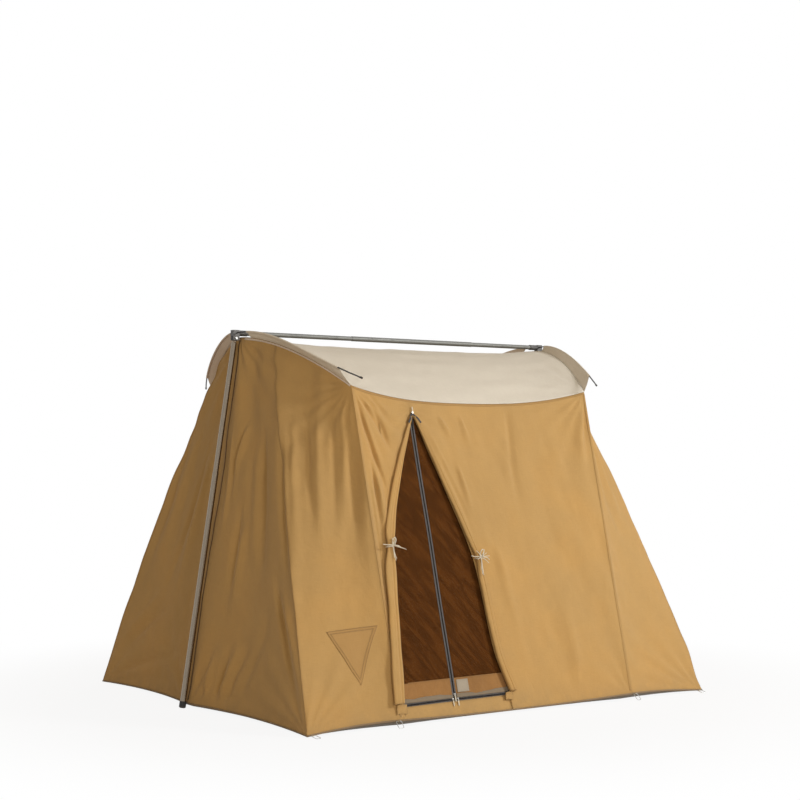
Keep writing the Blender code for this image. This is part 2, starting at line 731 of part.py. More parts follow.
def build_upright(side, end, mats):
    matrix = pole_matrix(end)
    outer = UPPER_OD / 2
    foot = -(UPPER_REACH + UPPER_PLUG)
    roof_of_bore = -(TUBE_START + TUBE_CROWN)
    inner = outer - TUBE_WALL
    profile = [(0, -TUBE_START), (outer, -TUBE_START), (outer, foot), (inner, foot), (inner, roof_of_bore)]
    upper = place(f"upright_upper_{side}", turned(profile + [(0, roof_of_bore)], TUBE_SIDES), mats["steel"])
    upper.matrix_world = matrix
    arc = [math.pi * i / 8 for i in range(9)]
    outline = [(EYE_RADIUS * math.cos(a), EYE_RADIUS * math.sin(a)) for a in arc]
    outline += [(-EYE_RADIUS, -EYE_DROP), (EYE_RADIUS, -EYE_DROP)]
    cutter(f"upright_eye_{side}", prism(outline, 2 * EYE_HALF_THICK, matrix), upper, "UNION")
    across = frame_matrix(PIVOT * [end, 1, 1], (1, 0, 0), (0, 1, 0))
    hole = rod(PIN_RADIUS + GAP, -CUT_PAST, CUT_PAST, TUBE_SIDES, across)
    cutter(f"upright_eye_hole_{side}", hole, upper)

    bore = outer + TUBE_FIT / 2
    sole = -cap_base()
    lower_foot = sole + CAP_FLOOR + GAP
    lower = tube(LOWER_OD / 2, bore, lower_foot, -UPPER_REACH, TUBE_SIDES)
    place(f"upright_lower_{side}", lower, mats["steel"]).matrix_world = matrix
    hold = LOWER_OD / 2 + GAP
    skirt = hold + CAP_WALL
    profile = [(0, sole), (CAP_TOE, sole), (skirt, sole + 0.5 * CAP_FLOOR), (skirt, sole + CAP_LENGTH)]
    profile += [(hold, sole + CAP_LENGTH), (hold, sole + CAP_FLOOR), (0, sole + CAP_FLOOR)]
    place(f"foot_cap_{side}", turned(profile, TUBE_SIDES), mats["cap"]).matrix_world = matrix


def build_rod(name, end, side, mats):
    """A spring rod from its hub socket to its free tip, with a ferrule on the tip."""
    reach = rod_tip()[1]
    ferrule = 1 - FERRULE_LENGTH / reach
    shares = [ROD_SEAT / reach] + [SLEEVE_SHARE * s for s in arch_stations()[2:]]
    shares += [ROD_BARE_SHARE, ferrule, ferrule + FERRULE_STEP, 1.0]
    radii = [ROD_RADIUS] * (len(shares) - 2) + [FERRULE_RADIUS] * 2
    path = [bow(s) * [end, side, 1] for s in shares]
    place(name, swept(path, round_section(radii, ROD_SIDES)), mats["rod"])


def square_to(curve, share, way):
    """The unit vector nearest to way that is square to the curve at this share of it."""
    step = 0.001
    tangent = curve(min(share + step, 1.0)) - curve(max(share - step, 0.0))
    tangent = tangent / np.linalg.norm(tangent)
    way = way - tangent * np.dot(way, tangent)
    return way / np.linalg.norm(way)


def build_overhang(name, end, mats):
    """The strip of canvas between the arch seam and the two rods of one end, open round the hub."""
    shares = [s for s in arch_stations() if s > HUB_SHARE]
    for side in (-1, 1):
        near, far = [], []
        for s in shares:
            seam = arch(s)
            axis = bow(SLEEVE_SHARE * s)
            near.append(seam + square_to(arch, s, axis - seam) * (1.5 * CANVAS))
            far.append(axis - square_to(bow, SLEEVE_SHARE * s, axis - seam) * (ROD_RADIUS + CANVAS / 2))
        points = []
        for a, b in zip(near, far):
            up = np.cross(b - a, [0.0, 1.0, 0.0])
            up = up / np.linalg.norm(up) * (CANVAS / 2)
            up = up if up[2] > 0 else -up
            points += [(p + q) * [end, side, 1] for p, q in ((a, up), (b, up), (b, -up), (a, -up))]
        faces = [(0, 1, 2, 3), tuple(len(points) - 4 + i for i in range(4))]
        for k in range(len(shares) - 1):
            a = 4 * k
            faces += [(a, a + 1, a + 5), (a, a + 5, a + 4), (a + 3, a + 6, a + 2), (a + 3, a + 7, a + 6)]
            faces += [(a + 1, a + 2, a + 6, a + 5), (a + 3, a, a + 4, a + 7)]
        row = "rear" if side > 0 else "front"
        place(f"{name}_{row}", mesh_of(points, faces), mats["sleeve"])


def build_roof(mats):
    shares = arch_stations()
    rows = [-s for s in reversed(shares)] + shares[1:]
    stations = side_stations()

    def surface(c, v):
        return roof(along_stations(stations, c), v)

    mesh = shell_mesh(surface, len(stations) - 1, rows, lambda h: 0.0, lambda h: 1.0, (1, 1),
                      thick=lambda p: np.array([0.0, 0.0, CANVAS]))
    place("roof_panel", mesh, mats["roof"])


def ring_frames():
    """Each stake ring's name, the gusset that holds it, its eye's place and its outward direction."""
    span = BASE_HALF_LENGTH - SEAM_FOOT_HALF
    frames = []
    for row, side in (("front", -1), ("rear", 1)):
        for way, end in (("left", -1), ("right", 1)):
            for spot, w in (("corner", CORNER_TAB_INSET / span), ("seam", 1 - SEAM_TAB_INSET / span)):
                hem = gusset_hem(w)
                along = gusset_hem(w + 0.01) - gusset_hem(w - 0.01)
                out = np.array([-along[1], along[0], 0.0]) * -1
                out = out / np.linalg.norm(out) * [end, side, 1]
                eye = hem * [end, side, 1] + out * TAB_EYE
                eye[2] = hem[2] + WEBBING / 2 - TAB_SINK
                frames.append((f"ring_{row}_{way}_{spot}", f"gusset_{row}_{way}", eye, out))
    return frames


def build_gusset(row, way, side, end, mats):
    """A corner gusset with the two webbing tabs that carry its stake rings."""
    name = f"gusset_{row}_{way}"
    mesh = shell_mesh(gusset, GUSSET_COLUMNS, wall_rows(), lambda h: 0.0, lambda h: 1.0, (end, side),
                      folds=fold(FOLD_DEPTH, 1))
    panel = place(name, mesh, mats["canvas"])
    for ring, holder, eye, out in ring_frames():
        if holder != name:
            continue
        along = np.cross([0.0, 0.0, 1.0], out)
        matrix = frame_matrix(eye, out, (0, 0, 1))
        root, reach = -TAB_EYE - TAB_ROOT, TAB_REACH - TAB_EYE
        tab = box((root, -TAB_WIDTH / 2, -WEBBING / 2), (reach, TAB_WIDTH / 2, WEBBING / 2), matrix)
        cutter(ring + "_tab", tab, panel, "UNION")
        turn = frame_matrix(eye, (0, 0, 1), along)
        hole = rod(RING_WIRE + RING_CLEAR / 2, -TAB_WIDTH, TAB_WIDTH, ROD_SIDES, turn)
        cutter(ring + "_hole", hole, panel)


def build_ring(name, eye, out, mats):
    """A wire stake ring that hangs from its tab and lies with its far end just off the ground."""
    rest = RING_WIRE + GROUND_CLEAR
    dip = math.asin(min((eye[2] - rest) / (RING_LENGTH - 2 * RING_WIRE), 0.95))
    down = out * math.cos(dip) + np.array([0.0, 0.0, -math.sin(dip)])
    along = np.cross([0.0, 0.0, 1.0], out)
    half = RING_WIDTH / 2 - RING_WIRE
    long = RING_LENGTH - 2 * RING_WIRE
    path = []
    for corner_x, corner_y, start in ((half, 0, -90), (half, long, 0), (-half, long, 90), (-half, 0, 180)):
        centre_x = corner_x - math.copysign(RING_CORNER, corner_x)
        centre_y = corner_y + (RING_CORNER if corner_y == 0 else -RING_CORNER)
        for i in range(4):
            angle = math.radians(start + 30 * i)
            a = centre_x + RING_CORNER * math.cos(angle)
            b = centre_y + RING_CORNER * math.sin(angle)
            path.append(eye + along * a + down * b)
    radii = [RING_WIRE] * len(path)
    obj = place(name, swept(path, round_section(radii, 6), closed=True), mats["wire"])
    move_origin(obj, eye)


def build_walls(mats):
    rows = wall_rows()
    for way, end in (("left", -1), ("right", 1)):
        mesh = shell_mesh(end_wall, 2 * END_COLUMNS, rows, lambda h: -1.0, lambda h: 1.0, (end, 1),
                          folds=fold(FOLD_DEPTH, 3))
        place(f"end_wall_{way}", mesh, mats["canvas"])
        for row, side in (("front", -1), ("rear", 1)):
            build_gusset(row, way, side, end, mats)
    for ring, _, eye, out in ring_frames():
        build_ring(ring, eye, out, mats)
    apex_u = wall_coords(DOOR_X, DOOR_TOP)[0]
    door_top = wall_coords(wall_edge(1, DOOR_TOP), DOOR_TOP)[1]
    over = wall_coords(DOOR_X, DOOR_TOP + SEAM_START)[1]
    door_foot = wall_coords(wall_edge(1, DOOR_TOP - DOOR_HEIGHT), DOOR_TOP - DOOR_HEIGHT)[1]
    door_rows = [0.0] + spaced(door_foot, door_top, WALL_ROWS + 3) + [over, rows[-1]]

    def beside_door(side):
        """The wall's edge along the door, as its own coordinate at each row."""

        def edge(h):
            if h > door_top + 1e-6:
                return apex_u
            u = apex_u
            for _ in range(8):
                z = min(side_wall(u, h)[2], DOOR_TOP)
                u = wall_coords(wall_edge(side, z), z)[0]
            return u

        return edge

    mesh = shell_mesh(side_wall, DOOR_SIDE_COLUMNS, door_rows, lambda h: -1.0, beside_door(-1), (1, -1))
    place("front_wall_left", mesh, mats["canvas"])
    mesh = shell_mesh(side_wall, FAR_SIDE_COLUMNS, door_rows, beside_door(1), lambda h: 1.0, (1, -1),
                      folds=fold(0.5 * FOLD_DEPTH, 2))
    place("front_wall_right", mesh, mats["canvas"])

    stations = side_stations()

    def rear(c, h):
        return side_wall(along_stations(stations, c), h)

    mesh = shell_mesh(rear, len(stations) - 1, rows, lambda h: 0.0, lambda h: 1.0, (1, 1),
                      folds=fold(0.5 * FOLD_DEPTH, 3))
    place("rear_wall", mesh, mats["canvas"])

    def sill(x, share):
        z_foot = side_hem(x / SEAM_FOOT_HALF)[2]
        foot = on_front(x, z_foot)
        return (foot + (on_door(x, SILL_TOP) - foot) * share) * [1, -1, 1]

    def sill_edge(side):
        def edge(share):
            z = HEM_DOOR_LIFT + (SILL_TOP - HEM_DOOR_LIFT) * share
            return wall_edge(side, z) - side * 2 * GAP

        return edge

    mesh = shell_mesh(sill, 8, [0.0, 0.5, 1.0], sill_edge(-1), sill_edge(1), (1, -1))
    place("door_sill", mesh, mats["canvas"])


def build_floor(mats):
    """The floor sheet: flat on the ground, with a rim that rises to the hem and lies under it."""
    quarter = [side_hem(u) for u in spaced(0.0, 1.0, 5)]
    quarter += [gusset_hem(w) for w in spaced(1.0, 0.0, 5)[1:]]
    quarter += [end_hem(w) for w in spaced(1.0, 0.0, 7)[1:]]
    loop = list(quarter)
    loop += [p * [1, -1, 1] for p in reversed(quarter[:-1])]
    loop += [p * [-1, -1, 1] for p in quarter[1:]]
    loop += [p * [-1, 1, 1] for p in reversed(quarter[1:-1])]
    rim = CANVAS + GAP + RIM_CLEAR
    points, faces = [], []
    count = len(loop)
    for lift in (0.0, CANVAS):
        for p in loop:
            points.append((p[0], p[1], p[2] - rim + lift))
        for p in loop:
            scale_x = 1 - RIM_WIDTH / BASE_HALF_LENGTH
            scale_y = 1 - RIM_WIDTH / BASE_HALF_WIDTH
            points.append((p[0] * scale_x, p[1] * scale_y, lift))
        points.append((0.0, 0.0, lift))
    layer = 2 * count + 1
    for base in (0, layer):
        for i in range(count):
            j = (i + 1) % count
            faces.append((base + i, base + j, base + count + j))
            faces.append((base + i, base + count + j, base + count + i))
            faces.append((base + count + i, base + count + j, base + 2 * count))
    for i in range(count):
        j = (i + 1) % count
        faces.append((i, j, layer + j, layer + i))
    place("floor_sheet", mesh_of(points, faces), mats["floor"])


def build_flap(name, side, tie_height, mats):
    """A door flap gathered along its edge of the opening and drawn in by its tie."""
    points, rings = [], []
    for level in flap_heights(tie_height):
        z = min(level, DOOR_TOP - FLAP_CLEAR)
        near_tie = math.exp(-(((z - tie_height) / TIE_SPREAD) ** 2))
        wide = flap_half(side, z) * (1 - (1 - PINCH) * near_tie)
        thick = flap_thick(z) * (1 - (1 - TIE_THIN) * near_tie)
        lift = flap_lift(z, tie_height)
        rings.append(range(len(points), len(points) + FLAP_SIDES))
        for i in range(FLAP_SIDES):
            angle = 2 * math.pi * i / FLAP_SIDES
            facing = 0.5 * (1 - side * math.cos(angle))
            swell = (FLAP_SWELL - 1) * facing * math.sin(3 * angle + 4 * z)
            reach = wide * (1 + swell) * math.cos(angle)
            rise = math.sin(angle)
            ridge = (1 + FLAP_RIDGE * math.sin(4 * angle + 3 * z)) / (1 + FLAP_RIDGE)
            out = thick * FLAP_BACK * (1 + min(rise, 0.0))
            if rise > 0:
                out += thick * (1 - FLAP_BACK) * rise * ridge
            points.append(on_front(flap_axis(side, z) + reach, z) + DOOR_NORMAL * (lift + out))
    faces = [tuple(rings[0]), tuple(reversed(rings[-1]))]
    for k in range(len(rings) - 1):
        for i in range(FLAP_SIDES):
            j = (i + 1) % FLAP_SIDES
            faces.append((rings[k][i], rings[k][j], rings[k + 1][j], rings[k + 1][i]))
    place(name, mesh_of(points, faces), mats["canvas"], smooth_angle=60)


def tie_route(side, height):
    """The tie's path: a tail, a turn round the gathered flap, a loop of the bow and the other tail."""
    stand = TIE_DIAMETER / 2 + TIE_CLEAR
    wide = flap_half(side, height) * PINCH * FLAP_SWELL + stand
    deep = flap_thick(height) * TIE_THIN / 2 + stand
    lift = flap_lift(height, height) + flap_thick(height) * TIE_THIN / 2
    front = deep + TIE_NEST
    tail = [(-0.056, front - 0.004, 0.010), (-0.036, front, 0.004), (-0.014, front + 0.002, 0.004)]
    turns = [math.radians(90 - 30 * i) for i in range(1, 12)]
    turn = []
    for i, angle in enumerate(turns):
        x, out = (math.copysign(abs(c) ** 0.7, c) for c in (math.cos(angle), math.sin(angle)))
        turn.append((wide * x, deep * out, TIE_RISE * (1 - 2 * (i + 1) / 12)))
    knot = front + TIE_DIAMETER + KNOT_STAND
    loop = [(-0.003, knot - 0.001, 0.0), (-0.006, knot + 0.001, 0.014), (0.002, knot + 0.002, 0.030)]
    loop += [(0.014, knot + 0.003, 0.038), (0.018, knot + 0.004, 0.026), (0.008, knot + 0.006, 0.010)]
    loop += [(0.004, knot + 0.007, 0.0), (0.016, knot + 0.005, -0.003)]
    loop += [(0.034, knot, -0.004), (0.054, knot - 0.006, -0.014)]
    route = tail + [(0.002, front + 0.001, TIE_RISE)] + turn + loop
    axis = flap_axis(side, height)
    return [Vector(on_front(axis + x, height + z) + DOOR_NORMAL * (lift + out)) for x, out, z in route]


def smooth_path(route, step):
    """Evenly spaced points on a smooth curve through the route."""
    dense = []
    for k in range(len(route) - 1):
        a, b = route[k], route[k + 1]
        before = route[k - 1] if k else a * 2 - b
        after = route[k + 2] if k + 2 < len(route) else b * 2 - a
        for i in range(12):
            t = i / 12
            cubic = 2 * t**3 - 3 * t**2 + 1
            point = a * cubic + b * (1 - cubic)
            point += (b - before) * (0.5 * (t**3 - 2 * t**2 + t)) + (after - a) * (0.5 * (t**3 - t**2))
            dense.append(point)
    dense.append(route[-1])
    lengths = [0.0]
    for k in range(1, len(dense)):
        lengths.append(lengths[-1] + (dense[k] - dense[k - 1]).length)
    count = max(2, round(lengths[-1] / step))
    marks = spaced(0.0, lengths[-1], count)
    columns = [np.interp(marks, lengths, [p[axis] for p in dense]) for axis in range(3)]
    return [Vector([float(c) for c in point]) for point in zip(*columns)]


def build_tie(name, side, height, mats):
    path = smooth_path(tie_route(side, height), 2 * TIE_DIAMETER)
    curve = bpy.data.curves.new(name, "CURVE")
    curve.dimensions = "3D"
    curve.bevel_depth = TIE_DIAMETER / 2
    curve.bevel_resolution = 2
    curve.use_fill_caps = True
    spline = curve.splines.new("POLY")
    spline.points.add(len(path) - 1)
    for point, place_at in zip(spline.points, path):
        point.co = (*place_at, 1.0)
    curve.materials.append(mats["cord"])
    bpy.context.collection.objects.link(bpy.data.objects.new(name, curve))


def door_plate(name, corners, mat, thick=SCREEN_THICK, out=0.0):
    """A flat plate on the door's plane with its corners at these places of x and z."""
    half = thick / 2
    points = [on_door(x, z, out + half) for x, z in corners] + [on_door(x, z, out - half) for x, z in corners]
    count = len(corners)
    faces = [tuple(range(count)), tuple(range(2 * count - 1, count - 1, -1))]
    faces += [(i, (i + 1) % count, count + (i + 1) % count, count + i) for i in range(count)]
    return place(name, mesh_of(points, faces), mat)


def build_screens(mats):
    """The two halves of the screen door: mesh above, a canvas band below and half of the zip on each."""
    band_top = SCREEN_FOOT + KICK_HEIGHT
    for way, side in (("left", -1), ("right", 1)):
        hinge = on_door(screen_side(side, SCREEN_FOOT), SCREEN_FOOT)
        zip_x = DOOR_X + side * TAPE_SPLIT / 2
        free_x = zip_x + side * (TAPE_WIDTH + GAP)
        foot = SCREEN_FOOT + GAP
        pieces = (("screen", "mesh", band_top + GAP, DOOR_TOP), ("kick_band", "band", foot, band_top))
        for piece, mat, low, high in pieces:
            outer_low, outer_high = screen_side(side, low), screen_side(side, high)
            corners = [(free_x, low), (outer_low, low), (outer_high, high), (free_x, high)]
            move_origin(door_plate(f"{piece}_{way}", corners, mats[mat]), hinge)
        tape_x = zip_x + side * TAPE_WIDTH
        corners = [(zip_x, foot), (tape_x, foot), (tape_x, DOOR_TOP), (zip_x, DOOR_TOP)]
        move_origin(door_plate(f"zip_tape_{way}", corners, mats["tape"]), hinge)
        build_binding(way, side, mats)
    left, right = (screen_side(s, SILL_TOP) for s in (-1, 1))
    corners = [(left, SILL_TOP + GAP), (right, SILL_TOP + GAP), (right, SCREEN_FOOT), (left, SCREEN_FOOT)]
    door_plate("zip_tape_bottom", corners, mats["tape"])


def build_binding(way, side, mats):
    """The fin of canvas that joins the front wall to a screen half along its hinge."""
    points = []
    heights = spaced(SCREEN_FOOT, DOOR_TOP, 6)
    for z in heights:
        x = screen_side(side, z)
        for across in (0.0, BINDING_WIDTH):
            face = on_front(x + side * across, z)
            wall = face - outward(face) * (CANVAS + GAP)
            points.append(wall)
            points.append(on_door(x + side * across, z, SCREEN_THICK / 2 + GAP))
    faces = [(0, 1, 3, 2), tuple(len(points) - 4 + i for i in (0, 2, 3, 1))]
    for k in range(len(heights) - 1):
        a = 4 * k
        for i, j in ((0, 1), (1, 3), (3, 2), (2, 0)):
            faces.append((a + i, a + j, a + 4 + j, a + 4 + i))
    place(f"screen_binding_{way}", mesh_of(points, faces), mats["canvas"])


def build_slider(name, pull_name, matrix, mats):
    """A zip slider and its pull: the slider's back lies on the zip, and the pull hangs from its bridge."""
    wide, deep, tall = SLIDER_SIZE
    back = -(SCREEN_THICK / 2 + GAP)
    body = box((-wide / 2, back - deep / 2, -tall / 2), (wide / 2, back, tall / 2), matrix)
    slider = place(name, body, mats["slider"])
    bridge_low = (-BRIDGE_HALF, back - deep, -BRIDGE_HALF)
    bridge_high = (BRIDGE_HALF, back - 0.4 * deep, tall / 2 - BRIDGE_END)
    cutter(name + "_bridge", box(bridge_low, bridge_high, matrix), slider, "UNION")
    eye = matrix @ Vector((0.0, back - EYE_SHARE * deep, WINDOW_RADIUS))
    window = frame_matrix(eye, matrix.to_3x3() @ Vector((0, 0, 1)), matrix.to_3x3() @ Vector((1, 0, 0)))
    cutter(name + "_window", rod(WINDOW_RADIUS, -CUT_PAST, CUT_PAST, ROD_SIDES, window), slider)
    move_origin(slider, matrix.translation)

    bar = rod(PULL_BAR, -PULL_WIDTH / 2, PULL_WIDTH / 2, ROD_SIDES, window)
    pull = place(pull_name, bar, mats["pull"])
    local = matrix.to_3x3()
    arm = PULL_WIDTH / 2 - CHEEK_WIDTH
    for edge in (-1, 1):
        low, high = sorted((edge * arm, edge * PULL_WIDTH / 2))
        cheek_low = (low, -PULL_THICK / 2, -CHEEK_LENGTH)
        cheek_high = (high, PULL_THICK / 2, PULL_BAR / 2)
        cheek = box(cheek_low, cheek_high, local.to_4x4())
        cheek.transform(Matrix.Translation(eye))
        cutter(f"{pull_name}_cheek_{'a' if edge < 0 else 'b'}", cheek, pull, "UNION")
    plate_low = (-PULL_WIDTH / 2, -PULL_THICK / 2, -PULL_LENGTH)
    plate_high = (PULL_WIDTH / 2, PULL_THICK / 2, CHEEK_MERGE - CHEEK_LENGTH)
    plate = box(plate_low, plate_high, local.to_4x4())
    plate.transform(Matrix.Translation(eye))
    cutter(pull_name + "_plate", plate, pull, "UNION")
    move_origin(pull, eye)


def build_zips(mats):
    tall = SLIDER_SIZE[2]
    build_slider("slider_vertical", "pull_vertical", door_frame(DOOR_X, SCREEN_FOOT + tall, 0.0), mats)
    middle = SILL_TOP + BOTTOM_ZIP / 2
    for way, side in (("left", -1), ("right", 1)):
        x = DOOR_X + side * (SLIDER_SIZE[0] + ZIP_STAND)
        build_slider(f"slider_{way}", f"pull_{way}", door_frame(x, middle, 0.0), mats)


def build():
    clear_scene()
    mats = {
        "canvas": material("canvas", (0.46, 0.28, 0.10), 0.9),
        "roof": material("roof_canvas", (0.66, 0.61, 0.50), 0.9),
        "sleeve": material("sleeve_canvas", (0.34, 0.24, 0.16), 0.9),
        "band": material("kick_canvas", (0.38, 0.16, 0.06), 0.9),
        "floor": material("floor_vinyl", (0.16, 0.13, 0.10), 0.7),
        "mesh": material("insect_mesh", (0.10, 0.045, 0.012), 0.9),
        "tape": material("zip_tape", (0.12, 0.11, 0.11), 0.8),
        "cord": material("cotton_tie", (0.75, 0.68, 0.52), 0.9),
        "steel": material("steel_tube", (0.55, 0.52, 0.48), 0.3, 1.0),
        "hub": material("hub_steel", (0.10, 0.10, 0.10), 0.5, 1.0),
        "rod": material("spring_steel", (0.35, 0.34, 0.33), 0.35, 1.0),
        "wire": material("ring_wire", (0.50, 0.50, 0.48), 0.35, 1.0),
        "slider": material("zip_slider", (0.62, 0.60, 0.56), 0.35, 1.0),
        "pull": material("zip_pull", (0.72, 0.69, 0.60), 0.4, 1.0),
        "cap": material("foot_rubber", (0.02, 0.02, 0.02), 0.7),
    }
    build_ridge(mats)
    for way, end in (("left", -1), ("right", 1)):
        build_hub(f"hub_{way}", end, mats)
        build_pin(f"pivot_pin_{way}", end, mats)
        build_upright(way, end, mats)
        build_overhang(f"overhang_{way}", end, mats)
        for row, side in (("front", -1), ("rear", 1)):
            build_rod(f"bow_rod_{way}_{row}", end, side, mats)
    build_roof(mats)
    build_walls(mats)
    build_floor(mats)
    build_flap("door_flap_left", -1, LEFT_TIE_HEIGHT, mats)
    build_flap("door_flap_right", 1, RIGHT_TIE_HEIGHT, mats)
    build_tie("tie_left", -1, LEFT_TIE_HEIGHT, mats)
    build_tie("tie_right", 1, RIGHT_TIE_HEIGHT, mats)
    build_screens(mats)
    build_zips(mats)


build()
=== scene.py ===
"""The cotton tent's looks: its canvas, seams, zips, cords and finishes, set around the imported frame."""

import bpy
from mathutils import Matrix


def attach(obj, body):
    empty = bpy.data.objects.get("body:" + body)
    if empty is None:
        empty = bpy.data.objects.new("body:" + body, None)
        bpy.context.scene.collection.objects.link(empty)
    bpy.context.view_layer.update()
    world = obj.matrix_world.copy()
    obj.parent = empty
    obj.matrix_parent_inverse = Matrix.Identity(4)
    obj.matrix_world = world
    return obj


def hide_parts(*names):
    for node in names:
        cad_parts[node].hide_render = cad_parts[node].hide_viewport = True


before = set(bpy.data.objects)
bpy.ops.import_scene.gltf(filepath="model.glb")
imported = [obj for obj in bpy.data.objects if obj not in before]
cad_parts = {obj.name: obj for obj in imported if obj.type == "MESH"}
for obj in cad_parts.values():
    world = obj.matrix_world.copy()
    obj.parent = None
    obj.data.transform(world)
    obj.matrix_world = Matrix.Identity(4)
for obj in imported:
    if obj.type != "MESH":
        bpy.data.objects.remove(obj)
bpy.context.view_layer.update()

import math
from itertools import product

import bmesh
import bpy
import numpy as np
from mathutils import Matrix, Vector
from mathutils.bvhtree import BVHTree

# Camera, as it stood for the photograph
CAMERA_PLACE = (-5.3036, -7.5911, 1.3315)
CAMERA_AZIMUTH = 35.062
CAMERA_PITCH = 1.907
CAMERA_LENS = 72.5

# Sizes of the frame and of the canvas, as the model has them
RIDGE_HEIGHT = 1.98
RIDGE_HALF = 1.057
POLE_FOOT_HALF = 1.368
BASE_HALF_LENGTH = 1.30
BASE_HALF_WIDTH = 1.131
EAVE_HALF_LENGTH = 0.789
EAVE_HALF_WIDTH = 0.725
EAVE_DROP = 0.300
ARCH_INSET = 0.032
ARCH_DROP = 0.023
SEAM_FOOT_HALF = 0.765
POLE_STAND_OFF = 0.028
ARCH_PLAN_POWER = 1.25
ARCH_DROP_POWER = 1.8
CROWN_SAG = 0.033
CROWN_POWER = 4.0
EAVE_SAG = 0.080
EAVE_SAG_POWER = 2.6
EAVE_DRAW = 0.050
SIDE_HEM_DRAW = 0.030
END_HEM_DRAW = 0.045
CREASE_SHARE = 0.36
CREASE_BULGE = 0.038
FOLD_DEPTH = 0.009
HEM_CORNER_LIFT = 0.006
HEM_RING_LIFT = 0.030
HEM_DOOR_LIFT = 0.013
HEM_POLE_LIFT = 0.020
CANVAS = 0.0020
WEBBING = 0.0045
GAP = 0.0003
ROD_RADIUS = 0.0038
ROD_TIP_OUT = 0.001
ROD_TIP_REACH = 0.104
ROD_TIP_RISE = 0.033
ROD_START_SLOPE = (-0.236, 0.108)
ROD_TIP_SLOPE = (-0.553, -0.420)
SLEEVE_SHARE = 0.844
SLEEVE_START = 0.12
DOOR_X = -0.396
DOOR_TOP = 1.530
DOOR_HEIGHT = 1.430
DOOR_LEFT_WIDTH = 0.333
DOOR_RIGHT_WIDTH = 0.351
DOOR_APEX_HALF = 0.003
EDGE_LEFT = ((0.0, 0.0), (0.2, 0.40), (0.43, 0.73), (0.72, 0.88), (1.0, 1.0))
EDGE_RIGHT = ((0.0, 0.0), (0.2, 0.285), (0.46, 0.66), (0.56, 0.745), (0.85, 0.83), (1.0, 1.0))
SCREEN_SETBACK = 0.016
SCREEN_TOP_LEFT = 0.220
SCREEN_TOP_RIGHT = 0.240
SCREEN_MARGIN = 0.017
BINDING_WIDTH = 0.014
SILL_TOP = 0.088
BOTTOM_ZIP = 0.015
KICK_HEIGHT = 0.097
TAPE_WIDTH = 0.012
LEFT_FLAP_HALF = 0.036
RIGHT_FLAP_HALF = 0.023
FLAP_TOP_HALF = 0.007
FLAP_THICK = 0.022
FLAP_REST = 0.0014
EDGE_SET_BACK = 0.004
PINCH = 0.62
FLAP_CLEAR = 0.004
LEFT_TIE_HEIGHT = 0.862
RIGHT_TIE_HEIGHT = 0.782
TIE_DIAMETER = 0.005
TIE_CLEAR = 0.0026
RING_WIRE = 0.0016
RING_CLEAR = 0.0006
TAB_WIDTH = 0.014
TAB_ROOT = 0.008
TAB_EYE = 0.009
CORNER_TAB_INSET = 0.028
SEAM_TAB_INSET = 0.016

ARCH_X = RIDGE_HALF - ARCH_INSET
ARCH_Z = RIDGE_HEIGHT - ARCH_DROP
EAVE_Z = RIDGE_HEIGHT - EAVE_DROP
HEM_END_X = POLE_FOOT_HALF - POLE_STAND_OFF
SCREEN_FOOT = SILL_TOP + BOTTOM_ZIP

# How the cloth and its trim are drawn here
CLOTH = 0.0012  # thickness of the drawn canvas, and then of the lighter sheets
ROLLED = 0.0009
THIN = 0.0008
TAPE = 0.0007
STRIP = 0.0006
NETTING = 0.0005
WELD = 2e-5  # grids join where they are closer than this
TIE_SPREAD = 0.055  # how far up and down a tie draws its flap in
CORD_LUMPS = 0.0028  # step along the strands of a knot
# Radii at both ends of a knot's strands
ARM_RADII = (0.0028, 0.0015)
TAIL_RADII = (0.0033, 0.0018)
TURN_RADII = (0.0028, 0.0028)
NET_PITCH = 0.0016
FLOOR_LIFT = 0.0018  # ground up to the floor sheet
FLAP_TURNS = 1.32  # times that a flap is rolled round
FLAP_FILL = 0.94  # share of its room that a flap's cloth takes up
TIED_THICK = 0.85  # share of its thickness that a flap keeps at its tie
FLAP_TOP_SHARE = 0.45  # share of its thickness that a flap has at its top
FLAP_TAPER = 0.25  # length over which it thins out towards the top
SLEEVE_CLEAR = 0.0014  # a rod's skin out to its sleeve
STRIP_SAG = 0.0035
# The bow's loop and tail beyond the knot, by place across, out and up
TIE_BOW = (
    (-0.003, -0.001, 0.0), (-0.006, 0.001, 0.014), (0.002, 0.002, 0.03), (0.014, 0.003, 0.038),
    (0.018, 0.004, 0.026), (0.008, 0.006, 0.01), (0.004, 0.007, 0.0), (0.016, 0.005, -0.003),
    (0.034, 0.0, -0.004), (0.054, -0.006, -0.014),
)
ON_TAPE = 0.0009  # middle of the door's plane out to the zip's tape
COIL_WIRE = 0.0010
COIL_PITCH = 0.0022
SEAM_LIFT = 0.0011
STITCH_LIFT = 0.0013
HEAD = (DOOR_X, DOOR_TOP + 0.012)  # where the outer zip parts above the door
HEAD_SPREAD = 0.040
HEAD_FALL = 0.052
MIDDLE = Vector((0.0, 0.0, 0.7))  # a place well inside the tent
WAYS = (("left", -1), ("right", 1))
ROWS = (("front", -1), ("rear", 1))

# Camera


def linked(name, data):
    """A new object in the scene."""
    obj = bpy.data.objects.new(name, data)
    bpy.context.scene.collection.objects.link(obj)
    return obj


def place_camera():
    data = bpy.data.cameras.new("photo_camera")
    data.sensor_width = 36.0
    data.lens = CAMERA_LENS
    data.clip_end = 100.0
    camera = linked("photo_camera", data)
    camera.location = CAMERA_PLACE
    camera.rotation_euler = (math.radians(90 + CAMERA_PITCH), 0.0, math.radians(-CAMERA_AZIMUTH))
    bpy.context.scene.camera = camera


place_camera()


# Node trees, for materials and for repeated pieces


